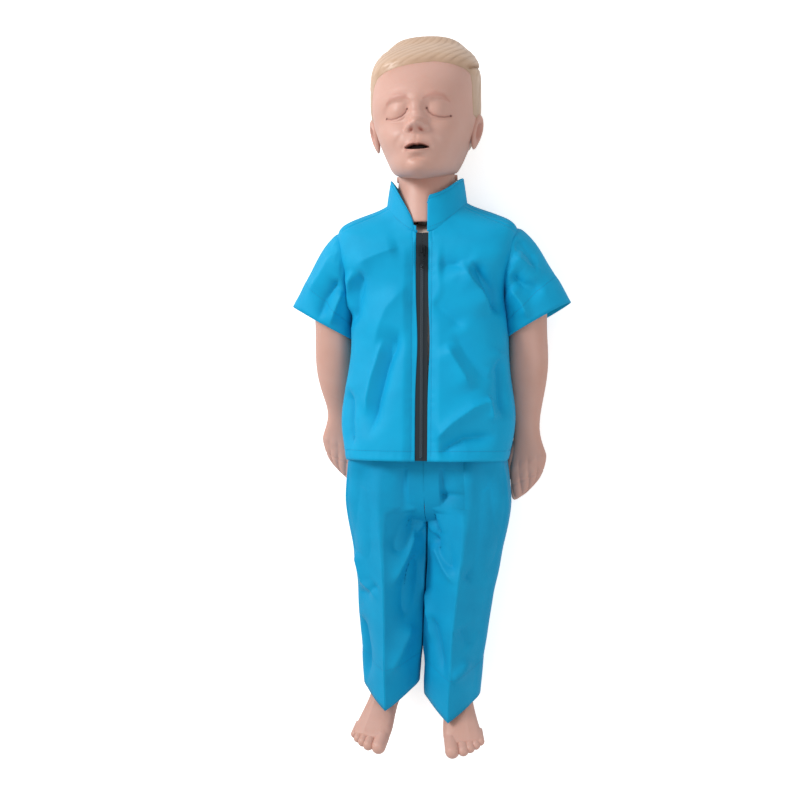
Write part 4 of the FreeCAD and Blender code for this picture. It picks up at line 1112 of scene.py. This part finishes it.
def makeEar(side, name):
    bm = bmesh.new()
    bmesh.ops.create_uvsphere(bm, u_segments=72, v_segments=48, radius=1)
    px, py, pz = vertexArray(bm).T
    width = 0.72 + 0.28 * ramp(-1, 0.5, py)
    outward = np.clip(px, 0, 1)
    q = ((py - 0.02) / 0.62) ** 2 + ((pz - 0.02) / 0.62) ** 2
    bowl = np.exp(-q ** 1.6 * 1.3)
    rim = bell(np.sqrt(q) - 1.32, 0.22) * ramp(-0.9, -0.3, py)
    fold = bell(np.hypot((py - 0.05) / 0.48, (pz + 0.10) / 0.46) - 1.05, 0.18) * (pz < 0.2)
    x = px - outward * (1.15 * bowl) + outward * 0.18 * rim + outward * 0.22 * fold
    reach = ear["reach"]
    places = np.stack([x * reach[0] * width, py * reach[1], pz * reach[2] * width], axis=1)
    lean, turn = math.radians(ear["lean"]), math.radians(ear["turn"])
    cosine, sine = math.cos(lean), math.sin(lean)
    places = places @ np.array([[cosine, -sine, 0], [sine, cosine, 0], [0, 0, 1]])
    cosine, sine = math.cos(turn), math.sin(turn)
    places = places @ np.array([[cosine, 0, sine], [0, 1, 0], [-sine, 0, cosine]])
    places = places + np.array(ear["centre"])
    places[:, 0] *= side
    setVertices(bm, places)
    bmesh.ops.recalc_face_normals(bm, faces=bm.faces)
    bmesh.ops.smooth_vert(bm, verts=bm.verts, factor=0.4, use_axis_x=True, use_axis_y=True, use_axis_z=True)
    # painted shade in the ear's bowl
    setLayer(bm, "tintAndShade", 0.55 * bowl * (px > 0))
    finishPiece("ear" + name.capitalize(), bm, skinVinyl, "head")


# Hair, moulded in the shell: a full fringe swept from a side parting, short at the sides and back

hair = {
    "mesh": (300, 260), "cloth": (0.5, 0.3), "middle": (0, 90),
    # edge round the face from ear to ear, and the edge behind and below the ears as height, y
    "line": [
        (-66, 352), (-66, 378), (-65, 396), (-63, 410), (-57, 420), (-46, 424.5), (-30, 427.5), (-8, 430),
        (20, 433), (40, 431), (56, 427.5), (62.5, 423), (65, 408), (66, 380), (66, 352)],
    "nape": [(5, 322), (30, 330), (60, 346), (78, 354), (90, 362), (96, 372)],
    "earZ": 96, "earY": 371, "napeY": 316.5, "halfGirth": 70,
    "sunk": -1.8, "rise": (2.4, 3, 4.2), "lock": 13, "lockHeight": 0.55, "strand": 2.6, "strandHeight": 0.06,
    # the parting as height and y on the right of the head
    "parting": [(130, 424), (118, 431), (100, 438), (78, 443), (55, 446)],
    "partWidth": 2.2, "partDepth": 3,
}


def hairDepth(x, y, z):
    # how far inside the edge of the hair a point lies
    distance, away = alongPath(x, y, hair["line"])[:2]
    nape = np.array(hair["nape"])
    inFace = (away < 0) | (y < hair["line"][0][1])
    front = np.where(inFace, -distance, distance)
    low = y - np.interp(z, nape[:, 0], nape[:, 1])
    behind = np.minimum(np.maximum(front, hair["earZ"] - z), low)
    return np.where(z > hair["earZ"], np.minimum(front, y - hair["earY"]), behind)


def hairLocks(around, y, swept):
    # ridges of the locks and fine strands, which turn towards the parting where the hair is swept
    above = np.clip(y - 424, -10, 60)
    wander = np.sin(around / 19 + y / 25) * 2 + np.sin(y / 13 - around / 31) * 1.5
    lane = 0.85 * around - swept * (0.7 * above + 0.016 * above ** 2) + wander
    ridge = np.abs(np.sin(math.pi * lane / hair["lock"])) ** 0.7
    second = np.sin(2 * math.pi * lane / (hair["lock"] * 0.46) + wander)
    strand = np.sin(2 * math.pi * lane / hair["strand"] + wander * 0.5)
    relief = hair["lockHeight"] * (ridge * 1.2 - 0.8 + second * 0.25) + hair["strandHeight"] * strand
    return ridge, relief


def makeHair():
    bm, uv = gridSheet(hair, lambda u, v: headForm(2 * math.pi * u, v))[:2]
    angle, v = 2 * math.pi * uv[:, 0], uv[:, 1]
    x, y, z = headForm(angle, v).T
    depth = hairDepth(x, y, z)
    around = np.where(angle > math.pi, angle - 2 * math.pi, angle) * hair["halfGirth"]
    crown = ramp(405, 440, y) * ramp(-125, -60, around)
    partZ, partY = np.array(hair["parting"]).T
    onRight = x > 30
    beyond = onRight & (y < np.interp(-z, -partZ, partY))
    swept = ramp(-118, -55, around) * np.where(beyond | (np.abs(around) > 150), 0, 1)
    ridge, relief = hairLocks(around, y, swept * ramp(170, 120, np.abs(around)))
    cover = ramp(1, 8, depth) * ramp(0.995, 0.88, v)
    groove = bell(alongPath(z, y, hair["parting"])[0], hair["partWidth"]) * onRight * cover
    edge, body, top = hair["rise"]
    grow = hair["sunk"] + edge * ramp(-0.8, 0.8, depth) + body * ramp(0.3, 9, depth)
    grow = grow + top * crown * np.where(beyond, 0.55, 1) * ramp(0, 14, depth)
    grow = grow + relief * cover
    grow = grow - hair["partDepth"] * groove
    setVertices(bm, headForm(angle, v, grow))
    # painted shade between the locks and along the parting
    setLayer(bm, "groove", np.clip(0.5 - 0.45 * ridge * cover + groove, 0, 1) * 0.85)
    hidden = [f for f in bm.faces
              if f.calc_center_median().y < hair["napeY"] * mm or max(depth[v.index] for v in f.verts) < -3]
    bmesh.ops.delete(bm, geom=hidden, context="FACES")
    mergeSides(bm, 1e-6)
    finishPiece("mouldedHair", bm, blondHair, "head", ["hair_shell"])


# Neck, a soft tube that widens under the collar

neck = {
    "mesh": (120, 60), "cloth": (0.26, 0.07), "middle": (0, 71), "joined": True,
    # y, radius
    "rows": [
        (235, 37), (233.8, 43), (234.2, 45.5), (243, 45), (256, 43), (270, 40.8), (284, 39.2), (303, 38.8)],
}


def neckPlace(u, v):
    y, radius = splineRows(np.array(neck["rows"]), v)
    s, c = roundTurn(u, 0.5)
    return np.stack([s * radius, y, neck["middle"][1] + c * radius], axis=1)


def makeNeck():
    bm = gridSheet(neck, neckPlace)[0]
    finishPiece("neckVinyl", bm, skinVinyl, "neck", ["neck"])


makeNeck()
makeFace()
makeJaw()
for side, name in sides:
    makeEar(side, name)
makeHair()
print("head made")


# CAD nodes that keep their own shape

def makeSpring():
    # the chest spring, which shortens with the stroke of the chest in the real manikin; here it keeps the CAD
    # shape
    bm = copyNode("return_spring")
    coil = finishPiece("springCoil", bm, springSteel, "trunk", ["return_spring"])
    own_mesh(coil)


makeSpring()

finishes = (
    (shellPlastic, "trunk_front_shell trunk_back_shell chest_skin"),
    (springSteel, "trunk_screws hip_shaft shoulder_bolt_left shoulder_bolt_right return_spring"),
    (innerPlastic, "shoulder_bush_left shoulder_bush_right sternum_plate piston_rod piston_guide base_plate"),
    (innerPlastic, "neck_shaft skull_frame"), (blondHair, "hair_shell"), (mouthRubber, "mouth_cup"),
    (skinVinyl, "leg_left leg_right arm_left arm_right neck face_skin head_pivot_pins"),
    (zipTape, "zip_tape_left zip_tape_right"), (zipCoil, "zip_teeth"), (zipMetal, "zip_slider zip_pull"),
    (airTube, "airway_neck airway_trunk airway_head lung_bag"),
)
for material, names in finishes:
    for name in names.split():
        nodes[name].data.materials.clear()
        nodes[name].data.materials.append(material)
print("CAD nodes finished")
